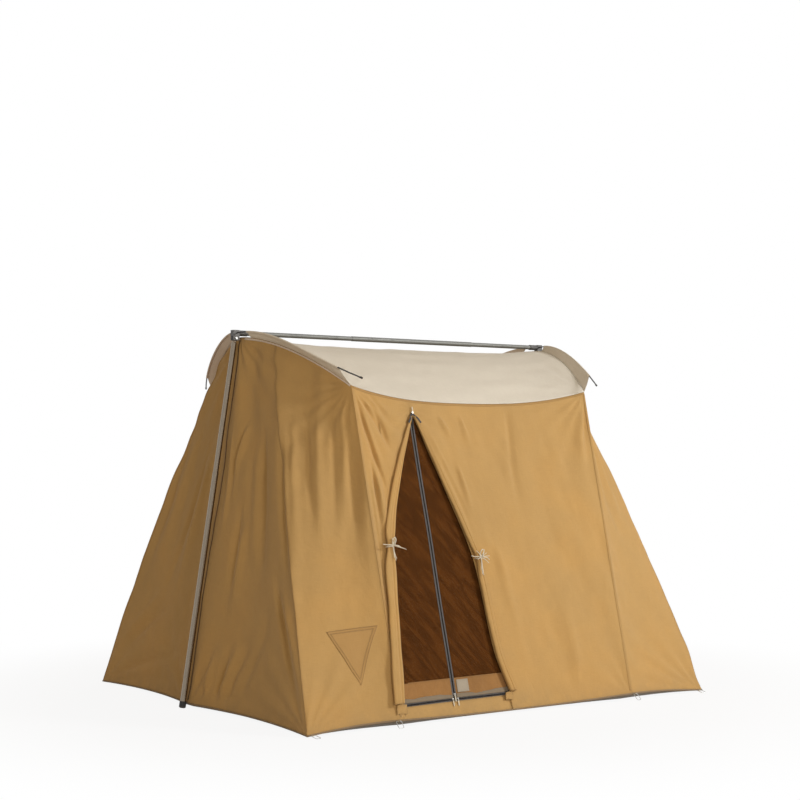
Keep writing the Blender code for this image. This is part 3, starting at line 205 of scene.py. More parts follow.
def operation(name, swapped=False):
    """A method that adds one Math node to the tree."""

    def method(self, other=None):
        values = (other, self) if swapped else (self, other)
        sockets = {k: value for k, value in enumerate(values) if value is not None}
        return self.tree.node("ShaderNodeMath", {"operation": name}, sockets)

    return method


class Link:
    """A value on its way through a node tree. Arithmetic on it adds Math nodes."""

    def __init__(self, tree, socket):
        self.tree = tree
        self.socket = socket

    __add__, __radd__ = operation("ADD"), operation("ADD", True)
    __sub__, __rsub__ = operation("SUBTRACT"), operation("SUBTRACT", True)
    __mul__, __rmul__ = operation("MULTIPLY"), operation("MULTIPLY", True)
    __truediv__ = operation("DIVIDE")
    __abs__ = operation("ABSOLUTE")
    sine, cosine = operation("SINE"), operation("COSINE")
    least, most = operation("MINIMUM"), operation("MAXIMUM")

    def output(self, which):
        """Another output of the node that this value comes from."""
        return Link(self.tree, self.socket.node.outputs[which])

    def between(self, low, high):
        """0 below low, 1 above high and a smooth rise between them; low may be the larger."""
        settings = {"interpolation_type": "SMOOTHSTEP"}
        return self.tree.node("ShaderNodeMapRange", settings, {"Value": self, "From Min": low, "From Max": high})


class Tree:
    """A node tree, in which every node is added by node()."""

    def __init__(self, tree):
        self.tree = tree

    def node(self, kind, settings=None, sockets=None, out=0):
        made = self.tree.nodes.new(kind)
        for name, value in (settings or {}).items():
            setattr(made, name, value)
        for name, value in (sockets or {}).items():
            if isinstance(value, Link):
                self.tree.links.new(value.socket, made.inputs[name])
            else:
                made.inputs[name].default_value = value
        return Link(self, made.outputs[out])

    def end(self, kind, shader):
        output = self.tree.nodes.new(kind)
        self.tree.links.new(shader.socket, output.inputs[0])

    def place(self):
        """Object coordinates."""
        return self.node("ShaderNodeTexCoord", {}, {}, 3)

    def cloth(self):
        """The cloth's own coordinates, in metres."""
        return self.node("ShaderNodeUVMap", {"uv_map": "cloth"})

    def parts(self, vector):
        x = self.node("ShaderNodeSeparateXYZ", {}, {0: vector})
        return x, x.output(1), x.output(2)

    def vector(self, operation_name, first, second, key=1, out=0):
        """A Vector Math node. The second value goes into the socket called key."""
        sockets = {0: first} if second is None else {0: first, key: second}
        return self.node("ShaderNodeVectorMath", {"operation": operation_name}, sockets, out)

    def mix(self, first, second, share, blend="MIX"):
        """Two colours mixed."""
        first, second = ((*c, 1.0) if isinstance(c, tuple) else c for c in (first, second))
        settings = {"data_type": "RGBA", "blend_type": blend}
        return self.node("ShaderNodeMix", settings, {0: share, 6: first, 7: second}, 2)

    def tint(self, colour, amount):
        """A colour made lighter or darker by a number that stands at 1."""
        grey = self.node("ShaderNodeCombineColor", {}, {0: amount, 1: amount, 2: amount})
        return self.mix(colour, grey, 1.0, "MULTIPLY")

    def noise(self, at, scale, detail=2.0, rough=0.5, distortion=0.0):
        sockets = {"Vector": at, "Scale": scale, "Detail": detail, "Roughness": rough, "Distortion": distortion}
        return self.node("ShaderNodeTexNoise", {}, sockets)

    def stretched(self, at, scale, turn=(0.0, 0.0, 0.0)):
        return self.node("ShaderNodeMapping", {}, {"Vector": at, "Scale": scale, "Rotation": turn})

    def bump(self, height, distance, strength=1.0, under=None):
        sockets = {"Height": height, "Distance": distance, "Strength": strength}
        if under is not None:
            sockets["Normal"] = under
        return self.node("ShaderNodeBump", {}, sockets)


def new_material(name):
    mat = bpy.data.materials.new(name)
    mat.use_nodes = True
    mat.node_tree.nodes.clear()
    return mat, Tree(mat.node_tree)


def finish_material(mat, tree, shade, rough, relief, **others):
    """The material with its surface joined up. The others are the shader's further values, by their names."""
    sockets = {"Base Color": shade, "Roughness": rough, "Normal": relief}
    sockets.update({name.replace("_", " "): value for name, value in others.items()})
    tree.end("ShaderNodeOutputMaterial", tree.node("ShaderNodeBsdfPrincipled", {}, sockets))
    return mat


DUST = (0.20, 0.16, 0.11)
BARE_METAL = (0.42, 0.40, 0.38)
# Scale of the fine lines on metal, by direction
ALONG_X = (3.0, 220.0, 220.0)
ALONG_Z = (220.0, 220.0, 3.0)
COARSE = (60.0, 60.0, 60.0)
EVEN = (90.0, 90.0, 90.0)


def cloth_material(name, colour, pitch=0.0011, crumple=0.0016, mottle=0.10, soil=0.25, warm=None, rough=0.93):
    """Plain-woven cotton: threads, slubs, small crumples, a mottled dye, and dust near the ground."""
    mat, tree = new_material(name)
    flat, where = tree.cloth(), tree.place()
    across, along, _ = tree.parts(flat)
    threads = (across * (math.pi / pitch)).sine() * (along * (math.pi / pitch)).sine()
    slubs = tree.noise(tree.stretched(flat, (18.0, 420.0, 1.0)), 1.0, 2.0)
    warp = tree.noise(tree.stretched(flat, (420.0, 14.0, 1.0)), 1.0, 2.0)
    cloud = tree.noise(where, 2.3, 3.0, 0.55)
    patchy = tree.noise(where, 11.0, 3.0, 0.6)
    seam_shade = tree.node("ShaderNodeAttribute", {"attribute_name": "edge"}, {}, 2).between(0.020, 0.002)
    dust = tree.parts(where)[2].between(0.16, 0.0) * patchy.between(0.3, 0.75)
    tone = 1.0 + (cloud - 0.5) * (2.0 * mottle) + (patchy - 0.5) * mottle
    tone = tone + (slubs - 0.5) * 0.14 + (warp - 0.5) * 0.12 + threads * 0.035 - seam_shade * 0.07
    shade = tree.tint(colour, tone)
    if warm:
        shade = tree.mix(shade, tree.tint(warm, tone), cloud.between(0.42, 0.68) * 0.6)
    shade = tree.mix(shade, DUST, dust * soil)
    crumples = tree.noise(tree.stretched(flat, (9.0, 6.0, 1.0), (0.0, 0.0, 0.5)), 1.0, 4.0, 0.55, 0.9)
    relief = tree.bump(crumples, crumple * 4.0, 0.55)
    relief = tree.bump(tree.noise(flat, 46.0, 3.0, 0.6, 0.4), crumple, 0.45, relief)
    relief = tree.bump(threads * 0.5 + slubs * 0.5, 0.00035, 0.5, relief)
    return finish_material(mat, tree, shade, rough - 0.10 + patchy * 0.16, relief,
                           Sheen_Weight=0.12, Sheen_Roughness=0.6, Specular_IOR_Level=0.25)


def metal_material(name, colour, rough=0.32, brushed=EVEN, dirt=0.4, metallic=1.0, wear=0.0, shine=0.5):
    """Metal with fine lines along it, fingered patches and a little dirt."""
    mat, tree = new_material(name)
    where = tree.place()
    lines = tree.noise(tree.stretched(where, brushed), 1.0, 3.0, 0.6)
    patches = tree.noise(where, 14.0, 4.0, 0.6)
    specks = tree.noise(where, 240.0, 2.0, 0.5)
    stain = patches.between(0.52, 0.75) * dirt
    shade = tree.tint(colour, 0.90 + lines * 0.20 - stain * 0.6)
    if wear:
        bare = specks.between(0.60, 0.70) * patches.between(0.45, 0.60)
        shade = tree.mix(shade, BARE_METAL, bare * wear)
    relief = tree.bump(lines * 0.6 + specks * 0.4, 0.00012, 0.4)
    return finish_material(mat, tree, shade, rough + (lines - 0.5) * 0.16 + stain * 0.35, relief,
                           Metallic=metallic, Specular_IOR_Level=shine)


def rubber_material():
    mat, tree = new_material("foot_rubber")
    where = tree.place()
    grain = tree.noise(where, 320.0, 3.0, 0.6)
    dust = tree.parts(where)[2].between(0.020, 0.0) * grain.between(0.35, 0.65)
    shade = tree.mix((0.016, 0.016, 0.017), (0.12, 0.10, 0.08), dust * 0.7)
    return finish_material(mat, tree, shade, 0.62 + grain * 0.2, tree.bump(grain, 0.0002, 0.5))


def net_material():
    """Fine brown netting: woven threads with open holes between them."""
    mat, tree = new_material("insect_net")
    across, along, _ = tree.parts(tree.cloth())
    weft, warp = (abs((way * (math.pi / NET_PITCH)).sine()) for way in (across, along))
    hole = weft.least(warp).between(0.42, 0.62)
    where = tree.place()
    cloud = tree.noise(where, 5.0, 3.0)
    x, _, z = tree.parts(where)
    slant = {0: (x * 0.77 + z * 0.64) * 30.0, 1: (x * 0.64 - z * 0.77) * 5.0}
    streak = tree.noise(tree.node("ShaderNodeCombineXYZ", {}, slant), 1.0, 3.0, 0.6, 0.6)
    shade = tree.tint((0.100, 0.036, 0.0075), 0.70 + cloud * 0.25 + streak.between(0.42, 0.60) * 0.42)
    return finish_material(mat, tree, shade, 0.8 + cloud * 0.1, tree.bump(weft.least(warp), 0.0003, 0.4),
                           Alpha=1.0 - hole * 0.45, Specular_IOR_Level=0.08)


def cord_material(name, colour, twist=0.0008):
    """Twisted cotton cord, with strands that wind along it."""
    mat, tree = new_material(name)
    where = tree.place()
    fibres = tree.noise(where, 900.0, 3.0, 0.7)
    x, _, z = tree.parts(where)
    strands = abs(((x + z * 1.3) * (math.pi / twist)).sine())
    cloud = tree.noise(where, 60.0, 3.0)
    shade = tree.tint(colour, 0.78 + strands * 0.20 + (cloud - 0.5) * 0.2 + (fibres - 0.5) * 0.2)
    relief = tree.bump(strands * 0.8 + fibres * 0.2, 0.0006, 0.7)
    return finish_material(mat, tree, shade, 0.85 + fibres * 0.1, relief, Sheen_Weight=0.2)


MATERIALS = {
    "canvas": cloth_material("canvas", (0.530, 0.333, 0.127), warm=(0.545, 0.325, 0.112)),
    "roof": cloth_material("roof_canvas", (0.800, 0.765, 0.690), mottle=0.045, soil=0.1, crumple=0.0012),
    # The two sleeve cloths are the roof's cream cloth painted darker and pinker, as painted shade on the rod
    # sleeves' shaded faces: the rear strips and the arch seams have more of it, the front strips less.
    "sleeve": cloth_material("sleeve_canvas", (0.800, 0.700, 0.620), mottle=0.05, soil=0.0),
    "sleeve_pale": cloth_material("front_sleeve_painted_shade", (0.800, 0.745, 0.655), mottle=0.05, soil=0.0),
    "kick": cloth_material("kick_canvas", (0.355, 0.182, 0.060), mottle=0.34, soil=0.1, crumple=0.005),
    "floor": cloth_material("floor_vinyl", (0.160, 0.130, 0.100), mottle=0.12, soil=0.6, rough=0.7),
    "binding": cloth_material("hem_binding", (0.310, 0.215, 0.125), pitch=0.0016, soil=0.4),
    "grey": cloth_material("grey_cloth", (0.420, 0.370, 0.300), soil=0.1),
    "patch": cloth_material("patch_cloth", (0.480, 0.290, 0.108), mottle=0.08, soil=0.1),
    "grey_dark": cloth_material("kick_strip", (0.270, 0.220, 0.160), mottle=0.20, soil=0.2),
    "tape": cloth_material("zip_tape", (0.150, 0.145, 0.150), 0.0008, 0.0004, 0.06, 0.05),
    "webbing": cloth_material("webbing", (0.400, 0.330, 0.220), pitch=0.0022, mottle=0.08, soil=0.5),
    "thread": cord_material("stitch_thread", (0.330, 0.200, 0.085)),
    "dark_thread": cord_material("dark_thread", (0.120, 0.070, 0.030)),
    # The pole seam's strip is painted dark brown: painted shadow of the upright on the end wall behind it.
    "pole_painted_shadow": cloth_material("pole_shadow_seam", (0.170, 0.090, 0.030), mottle=0.08, soil=0.1),
    "pale_thread": cord_material("pale_thread", (0.560, 0.480, 0.360)),
    "net": net_material(),
    "cord": cord_material("cotton_tie", (0.800, 0.745, 0.620), 0.0045),
    "steel": metal_material("steel_tube", (0.225, 0.185, 0.140), 0.27, ALONG_Z, 0.25),
    "ridge": metal_material("ridge_tube", (0.215, 0.214, 0.200), 0.60, ALONG_X, 0.25),
    "hub": metal_material("hub_steel", (0.090, 0.088, 0.085), 0.45, COARSE, metallic=0.6, wear=0.5),
    "rod": metal_material("spring_steel", (0.050, 0.047, 0.045), 0.42, COARSE, metallic=0.4),
    "wire": metal_material("ring_wire", (0.520, 0.520, 0.500)),
    "zip_metal": metal_material("zip_metal", (0.360, 0.350, 0.330), 0.34, dirt=0.3, wear=0.2),
    "pull": metal_material("zip_pull", (0.640, 0.580, 0.460), 0.55, dirt=0.2, metallic=0.0, shine=0.3),
    "coil": metal_material("zip_coil", (0.010, 0.009, 0.010), 0.70, (200.0,) * 3, 0.1, 0.0, shine=0.12),
    "rubber": rubber_material(),
}

NODE_LOOKS = {
    "ridge_pole": "ridge", "upright": "steel", "pivot_pin": "wire", "hub": "hub", "bow_rod": "rod",
    "ring": "wire", "slider": "zip_metal", "pull": "pull", "foot_cap": "rubber",
}


def dress_nodes():
    """Gives the hard pieces of the frame their finishes."""
    for name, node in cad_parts.items():
        for start, look in NODE_LOOKS.items():
            if name.startswith(start):
                node.data.materials.clear()
                node.data.materials.append(MATERIALS[look])


dress_nodes()

# The canvas surfaces, worked out on whole grids at once, for the end at +X and the side at +Y


def spot(x, y, z):
    return np.stack(np.broadcast_arrays(x, y, z), axis=-1).astype(float)


def lift(value):
    return np.asarray(value, float)[..., None]


def unit(rows):
    return rows / np.linalg.norm(rows, axis=-1, keepdims=True)


def arch(share):
    share = np.asarray(share, float)
    x = ARCH_X - (ARCH_X - EAVE_HALF_LENGTH) * share**ARCH_PLAN_POWER
    z = ARCH_Z - (ARCH_Z - EAVE_Z) * share**ARCH_DROP_POWER
    return spot(x, EAVE_HALF_WIDTH * share, z)


def eave(u):
    y = EAVE_HALF_WIDTH - EAVE_DRAW * (1 - u * u)
    z = EAVE_Z - EAVE_SAG * (1 - np.abs(u) ** EAVE_SAG_POWER)
    return spot(EAVE_HALF_LENGTH * u, y, z)


def roof(u, v):
    share = np.abs(v)
    edge = eave(u)
    crown = ARCH_Z - CROWN_SAG * (1 - np.abs(u) ** CROWN_POWER)
    z = crown - (crown - edge[..., 2]) * share**ARCH_DROP_POWER
    return spot(u * arch(share)[..., 0], v * edge[..., 1], z)


def side_hem(u):
    y = BASE_HALF_WIDTH - SIDE_HEM_DRAW * (1 - u * u)
    z = HEM_DOOR_LIFT + (HEM_RING_LIFT - HEM_DOOR_LIFT) * u * u
    return spot(SEAM_FOOT_HALF * u, y, z)


def gusset_hem(w):
    x = BASE_HALF_LENGTH + (SEAM_FOOT_HALF - BASE_HALF_LENGTH) * w
    y = BASE_HALF_WIDTH - 4 * 0.6 * SIDE_HEM_DRAW * w * (1 - w)
    z = HEM_CORNER_LIFT + (HEM_RING_LIFT - HEM_CORNER_LIFT) * np.sin(math.pi / 2 * w)
    return spot(x, y, z)


def end_hem(w):
    x = HEM_END_X + (BASE_HALF_LENGTH - HEM_END_X) * w - 4 * END_HEM_DRAW * w * (1 - w)
    z = HEM_POLE_LIFT + (HEM_CORNER_LIFT - HEM_POLE_LIFT) * w * w
    return spot(x, BASE_HALF_WIDTH * w, z)


def outward(p):
    x, y = p[..., 0] / (0.85 * BASE_HALF_LENGTH), p[..., 1] / (0.8 * BASE_HALF_WIDTH)
    return unit(spot(x**3, y**3, 0.25))


def side_wall(u, h):
    return side_hem(u) + (eave(u) - side_hem(u)) * lift(h)


def bulged(low, high, h, strength):
    point = low + (high - low) * lift(h)
    return point + outward(point) * lift(strength * CREASE_BULGE * np.sin(math.pi * h))


def end_panel(s, h):
    """One end of the tent: the end wall where s is from -1 to 1, and a gusset on either side of it, out to 2."""
    way = np.abs(s)
    w = np.clip(way, 0, 1)
    middle = bulged(end_hem(w), arch(CREASE_SHARE * w), h, w**2)
    w = np.clip(way - 1, 0, 1)
    corner = bulged(gusset_hem(w), arch(CREASE_SHARE + (1 - CREASE_SHARE) * w), h, (1 - w) ** 2)
    point = np.where(lift(way) <= 1, middle, corner)
    return point * spot(1.0, np.where(s < 0, -1.0, 1.0), 1.0)


def fold(depth, waves, c, h):
    return depth * np.sin(2 * math.pi * waves * c) * np.sin(math.pi * c) * np.sin(math.pi * h)


def wall_coords(x, z):
    """A side wall's own coordinates at the place with this x and z."""
    h = np.asarray(z, float) / EAVE_Z
    for _ in range(8):
        u = x / (SEAM_FOOT_HALF + (EAVE_HALF_LENGTH - SEAM_FOOT_HALF) * h)
        foot, top = side_hem(u), eave(u)
        h = (z - foot[..., 2]) / (top[..., 2] - foot[..., 2])
    return u, h


def on_front(x, z):
    u, h = wall_coords(x, z)
    return side_wall(u, h) * [1, -1, 1]


def eased(points, share):
    """A smooth curve through the points, read at a share of its run."""
    for k in range(len(points) - 1):
        (a, p), (b, q) = points[k], points[k + 1]
        if share <= b or k == len(points) - 2:
            before = points[k - 1] if k else (2 * a - b, 2 * p - q)
            after = points[k + 2] if k + 2 < len(points) else (2 * b - a, 2 * q - p)
            t = min(max((share - a) / (b - a), 0.0), 1.0)
            slope_a = (q - before[1]) / (b - before[0]) * (b - a)
            slope_b = (after[1] - p) / (after[0] - a) * (b - a)
            cubic = 2 * t**3 - 3 * t**2 + 1
            return p * cubic + q * (1 - cubic) + slope_a * (t**3 - 2 * t**2 + t) + slope_b * (t**3 - t**2)
    return points[-1][1]


def door_edge(side, z):
    share = (DOOR_TOP - z) / DOOR_HEIGHT
    width = DOOR_LEFT_WIDTH if side < 0 else DOOR_RIGHT_WIDTH
    shape = EDGE_LEFT if side < 0 else EDGE_RIGHT
    return DOOR_X + side * (DOOR_APEX_HALF + width * eased(shape, max(share, 0.0)))


def wall_edge(side, z):
    return door_edge(side, z) + side * EDGE_SET_BACK


def flap_half(side, z):
    share = min(max((DOOR_TOP - z) / DOOR_HEIGHT, 0.0), 1.0)
    full = LEFT_FLAP_HALF if side < 0 else RIGHT_FLAP_HALF
    return FLAP_TOP_HALF + (full - FLAP_TOP_HALF) * math.sin(math.pi / 2 * min(share / 0.5, 1.0))


def flap_thick(z):
    return FLAP_THICK * (FLAP_TOP_SHARE + (1 - FLAP_TOP_SHARE) * min((DOOR_TOP - z) / FLAP_TAPER, 1.0))


def flap_lift(z, tie_height):
    near_tie = math.exp(-(((z - tie_height) / TIE_SPREAD) ** 2))
    return FLAP_REST + (TIE_DIAMETER + 2 * TIE_CLEAR - FLAP_REST) * near_tie


def flap_axis(side, z):
    return door_edge(side, z) + side * flap_half(side, z)


def door_plane():
    apex = on_front(DOOR_X, DOOR_TOP)
    left = on_front(DOOR_X - DOOR_LEFT_WIDTH, DOOR_TOP - DOOR_HEIGHT)
    right = on_front(DOOR_X + DOOR_RIGHT_WIDTH, DOOR_TOP - DOOR_HEIGHT)
    normal = unit(np.cross(right - left, apex - left))
    return apex - SCREEN_SETBACK * normal, normal


DOOR_POINT, DOOR_NORMAL = door_plane()


def on_door(x, z, out=0.0):
    """Places on the screen door's plane, moved out along its normal."""
    x, z = np.asarray(x, float), np.asarray(z, float)
    run = DOOR_NORMAL[0] * (x - DOOR_POINT[0]) + DOOR_NORMAL[2] * (z - DOOR_POINT[2])
    return spot(x, DOOR_POINT[1] - run / DOOR_NORMAL[1], z) + lift(out) * DOOR_NORMAL


def screen_side(side, z):
    share = (DOOR_TOP - z) / (DOOR_TOP - SCREEN_FOOT)
    top = SCREEN_TOP_LEFT if side < 0 else SCREEN_TOP_RIGHT
    foot = (DOOR_LEFT_WIDTH if side < 0 else DOOR_RIGHT_WIDTH) + SCREEN_MARGIN
    return DOOR_X + side * (top + (foot - top) * share)


def bow(share):
    """A bow rod's axis, from the hub's centre to its tip."""
    start = np.array([RIDGE_HALF, 0.0, RIDGE_HEIGHT])
    tip = arch(1.0) + [ROD_TIP_OUT, ROD_TIP_REACH, ROD_TIP_RISE]
    third = tip[1] / 3
    first = start + third * np.array([ROD_START_SLOPE[0], 1.0, ROD_START_SLOPE[1]])
    second = tip - third * np.array([ROD_TIP_SLOPE[0], 1.0, ROD_TIP_SLOPE[1]])
    s = lift(share)
    left = 1 - s
    return left**3 * start + 3 * left**2 * s * first + 3 * left * s**2 * second + s**3 * tip


# Making pieces


def body_piece(obj, body, look=None):
    if look:
        obj.data.materials.clear()
        obj.data.materials.append(MATERIALS[look])
    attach(obj, body)
    return obj


def mesh_object(name, points, faces, uvs=None, edge=None):
    mesh = bpy.data.meshes.new(name)
    mesh.from_pydata([tuple(map(float, p)) for p in points], [], faces)
    if uvs is not None:
        layer = mesh.uv_layers.new(name="cloth")
        corners = np.array([loop.vertex_index for loop in mesh.loops])
        layer.data.foreach_set("uv", np.asarray(uvs, np.float32)[corners].ravel())
    if edge is not None:
        mesh.attributes.new("edge", "FLOAT", "POINT").data.foreach_set("value", np.asarray(edge, np.float32))
    mesh.update()
    mesh.shade_smooth()
    return linked(name, mesh)


def plain(obj):
    """The object's modifiers worked into its mesh."""
    bpy.context.view_layer.update()
    mesh = bpy.data.meshes.new_from_object(obj.evaluated_get(bpy.context.evaluated_depsgraph_get()))
    mesh.name = obj.name
    obj.modifiers.clear()
    obj.data = mesh
    return obj


def reworked(obj, job):
    """The object after a job on its mesh."""
    bm = bmesh.new()
    bm.from_mesh(obj.data)
    job(bm)
    bm.to_mesh(obj.data)
    bm.free()
    return obj


def turn_solid_out(bm):
    if bm.calc_volume(signed=True) < 0:
        bmesh.ops.reverse_faces(bm, faces=bm.faces)


def turn_alike(bm):
    bmesh.ops.recalc_face_normals(bm, faces=bm.faces)


def turn_sheet_out(bm):
    """Joins a sheet's grids where they meet and turns it away from the middle of the tent."""
    bmesh.ops.remove_doubles(bm, verts=bm.verts, dist=WELD)
    turn_alike(bm)
    if sum(f.normal.dot(f.calc_center_median() - MIDDLE) * f.calc_area() for f in bm.faces) < 0:
        bmesh.ops.reverse_faces(bm, faces=bm.faces)


def running(grid, along, across):
    """Mean distances run along one axis of a grid of points."""
    steps = np.linalg.norm(np.diff(grid, axis=along), axis=2).mean(axis=across)
    return np.concatenate([[0.0], np.cumsum(steps)])


def measured(grid):
    """Real distances over a grid of points, across and along, as the cloth's own coordinates."""
    return np.stack(np.meshgrid(running(grid, 1, 0), running(grid, 0, 1)), axis=-1)


def cloth_piece(name, grids, look="canvas", thick=CLOTH, body="tent", offset=-1.0):
    """One sheet of cloth from one or more grids that meet, given its thickness, by default inwards."""
    points, faces, uvs, edges = [], [], [], []
    for grid in grids:
        rows, cols = grid.shape[:2]
        start = len(points)
        flat = measured(grid)
        points.extend(grid.reshape(-1, 3))
        uvs.extend(flat.reshape(-1, 2))
        edges.extend(np.minimum(flat, flat[-1, -1] - flat).min(axis=-1).ravel())
        for k in range(rows - 1):
            for a in range(start + k * cols, start + (k + 1) * cols - 1):
                faces.append((a, a + 1, a + cols + 1, a + cols))
    obj = reworked(mesh_object(name, points, faces, uvs, edges), turn_sheet_out)
    shell = obj.modifiers.new("thickness", "SOLIDIFY")
    shell.thickness = thick
    shell.offset = offset
    shell.use_even_offset = offset != 0.0
    return body_piece(reworked(plain(obj), turn_solid_out), body, look)


def declare(obj, nodes, flat, rests_on, area=None):
    """Hides the frame's nodes that a sheet stands for. Its flat size, what it rests on and its area are not used.
    """
    if nodes:
        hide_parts(*nodes.split())
    return obj


def swept(path, section):
    """A capped skin along the path. section(k, n, b) gives ring k's offsets from unit vectors across the path."""
    last = len(path) - 1
    tangents = [(path[min(k + 1, last)] - path[max(k - 1, 0)]).normalized() for k in range(last + 1)]
    side = tangents[0].cross(Vector((0.12, 0.23, 0.97))).normalized()
    points, rings, faces = [], [], []
    for k, tangent in enumerate(tangents):
        side = (side - tangent * side.dot(tangent)).normalized()
        ring = section(k, side, tangent.cross(side))
        rings.append(range(len(points), len(points) + len(ring)))
        points += [path[k] + offset for offset in ring]
    for here, after in zip(rings, rings[1:]):
        for i in range(len(here)):
            j = (i + 1) % len(here)
            faces.append((here[i], here[j], after[j], after[i]))
    return points, faces + [tuple(rings[0]), tuple(reversed(rings[-1]))]


# Ties of cotton cord


def smooth_path(route, step):
    """Evenly spaced points on a smooth curve through the route."""
    dense = []
    for k in range(len(route) - 1):
        a, b = route[k], route[k + 1]
        before = route[k - 1] if k else a * 2 - b
        after = route[k + 2] if k + 2 < len(route) else b * 2 - a
        for i in range(12):
            t = i / 12
            cubic = 2 * t**3 - 3 * t**2 + 1
            place = a * cubic + b * (1 - cubic)
            place += (b - before) * (0.5 * (t**3 - 2 * t**2 + t)) + (after - a) * (0.5 * (t**3 - t**2))
            dense.append(place)
    dense.append(route[-1])
    lengths = [0.0]
    for a, b in zip(dense, dense[1:]):
        lengths.append(lengths[-1] + (b - a).length)
    count = max(2, round(lengths[-1] / step))
    marks = [lengths[-1] * i / count for i in range(count + 1)]
    return [Vector([float(np.interp(m, lengths, [p[axis] for p in dense])) for axis in range(3)]) for m in marks]


def tie_route(side, height):
    """The tie's path: a tail, a turn round the gathered flap, a loop of the bow and the other tail."""
    stand = TIE_DIAMETER / 2 + TIE_CLEAR
    wide = flap_half(side, height) * PINCH * 1.1 + stand
    deep = flap_thick(height) * TIED_THICK / 2 + stand
    rest = flap_lift(height, height) + flap_thick(height) * TIED_THICK / 2
    front = deep + 0.0015
    rise = 0.0045
    route = [(-0.056, front - 0.004, 0.010), (-0.036, front, 0.004), (-0.014, front + 0.002, 0.004)]
    route.append((0.002, front + 0.001, rise))
    for i in range(1, 12):
        angle = math.radians(90 - 30 * i)
        x, out = (math.copysign(abs(c) ** 0.7, c) for c in (math.cos(angle), math.sin(angle)))
        route.append((wide * x, deep * out, rise * (1 - 2 * i / 12)))
    knot = front + TIE_DIAMETER + 0.003
    route += [(x, knot + out, z) for x, out, z in TIE_BOW]
    axis = flap_axis(side, height)
    return [Vector(on_front(axis + x, height + z) + DOOR_NORMAL * (rest + out)) for x, out, z in route]


def cord_curve(name, path, diameter, look):
    curve = bpy.data.curves.new(name, "CURVE")
    curve.dimensions = "3D"
    curve.bevel_depth = diameter / 2
    curve.bevel_resolution = 3
    curve.use_fill_caps = True
    spline = curve.splines.new("POLY")
    spline.points.add(len(path) - 1)
    for point, place in zip(spline.points, path):
        point.co = (*place, 1.0)
    spline.use_smooth = True
    curve.materials.append(MATERIALS[look])
    return linked(name, curve)


def make_tie(way, side, height, knot):
    path = smooth_path(tie_route(side, height), TIE_DIAMETER * 0.6)
    length = sum((b - a).length for a, b in zip(path, path[1:]))
    tie = body_piece(cord_curve(f"tie_cord_{way}", path, TIE_DIAMETER, "cord"), "tent")
    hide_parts(f"tie_{way}")
    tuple(path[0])


# Folds in the cloth


def ripple(a, b, cell, seed):
    """Smooth noise from -1 to 1 over the plane of a and b, with lumps about as large as cell."""
    table = np.random.default_rng(seed).uniform(-1.0, 1.0, (64, 64))
    a, b = np.asarray(a) / cell + 40.0, np.asarray(b) / cell + 40.0
    i, j = np.floor(a).astype(int), np.floor(b).astype(int)
    s, t = eased_in(a - i), eased_in(b - j)
    at = lambda m, n: table[(i + m) % 64, (j + n) % 64]
    low = at(0, 0) * (1 - s) + at(1, 0) * s
    high = at(0, 1) * (1 - s) + at(1, 1) * s
    return low * (1 - t) + high * t


def eased_in(value):
    value = np.clip(value, 0, 1)
    return value * value * (3 - 2 * value)


def creases(a, b, table, spread=1.0):
    """Long folds. Each row has the fold's course, its half width, its height and its lean."""
    total = np.zeros(np.broadcast(a, b).shape)
    for course, width, depth, lean in table:
        whole = sum(math.dist(p, q) for p, q in zip(course, course[1:]))
        nearest = np.full(total.shape, 9.0)
        off, share = np.zeros(total.shape), np.zeros(total.shape)
        run = 0.0
        for (a0, b0), (a1, b1) in zip(course, course[1:]):
            length = math.dist((a0, b0), (a1, b1))
            da, db = (a1 - a0) / length, (b1 - b0) / length
            t = (a - a0) * da + (b - b0) * db
            held = np.clip(t, 0, length)
            distance = np.hypot(a - a0 - da * held, b - b0 - db * held)
            closer = distance < nearest
            nearest = np.where(closer, distance, nearest)
            off = np.where(closer, np.copysign(distance, (a - a0) * db - (b - b0) * da), off)
            share = np.where(closer, (run + t) / whole, share)
            run += length
        d = off / (width * spread * (0.7 + 0.6 * np.clip(share, 0, 1)))
        ends = eased_in(share / 0.34 + 0.12) * eased_in((1 - share) / 0.55 + 0.15)
        total = total + depth * ends * np.exp(-d * d) * (1 + lean * d)
    return total


def fan(a, b, centre, count, reach, depth, phase=0.0, hollow=0.03):
    """Small folds that spread from a place where the cloth is held."""
    da, db = a - centre[0], b - centre[1]
    r = np.hypot(da, db)
    angle = np.arctan2(db, da)
    rise = (r / (r + hollow)) * np.exp(-r / reach)
    wander = 0.5 * np.sin(3.0 * angle + phase * 2.0)
    return depth * rise * np.sin(count * angle + phase + wander)


def soften(grid):
    """Rounds the creases that run up a grid, and leaves its outer columns in place."""
    grid[:, 1:-1] += 0.5 * ((grid[:, :-2] + grid[:, 2:]) / 2 - grid[:, 1:-1])
    return grid


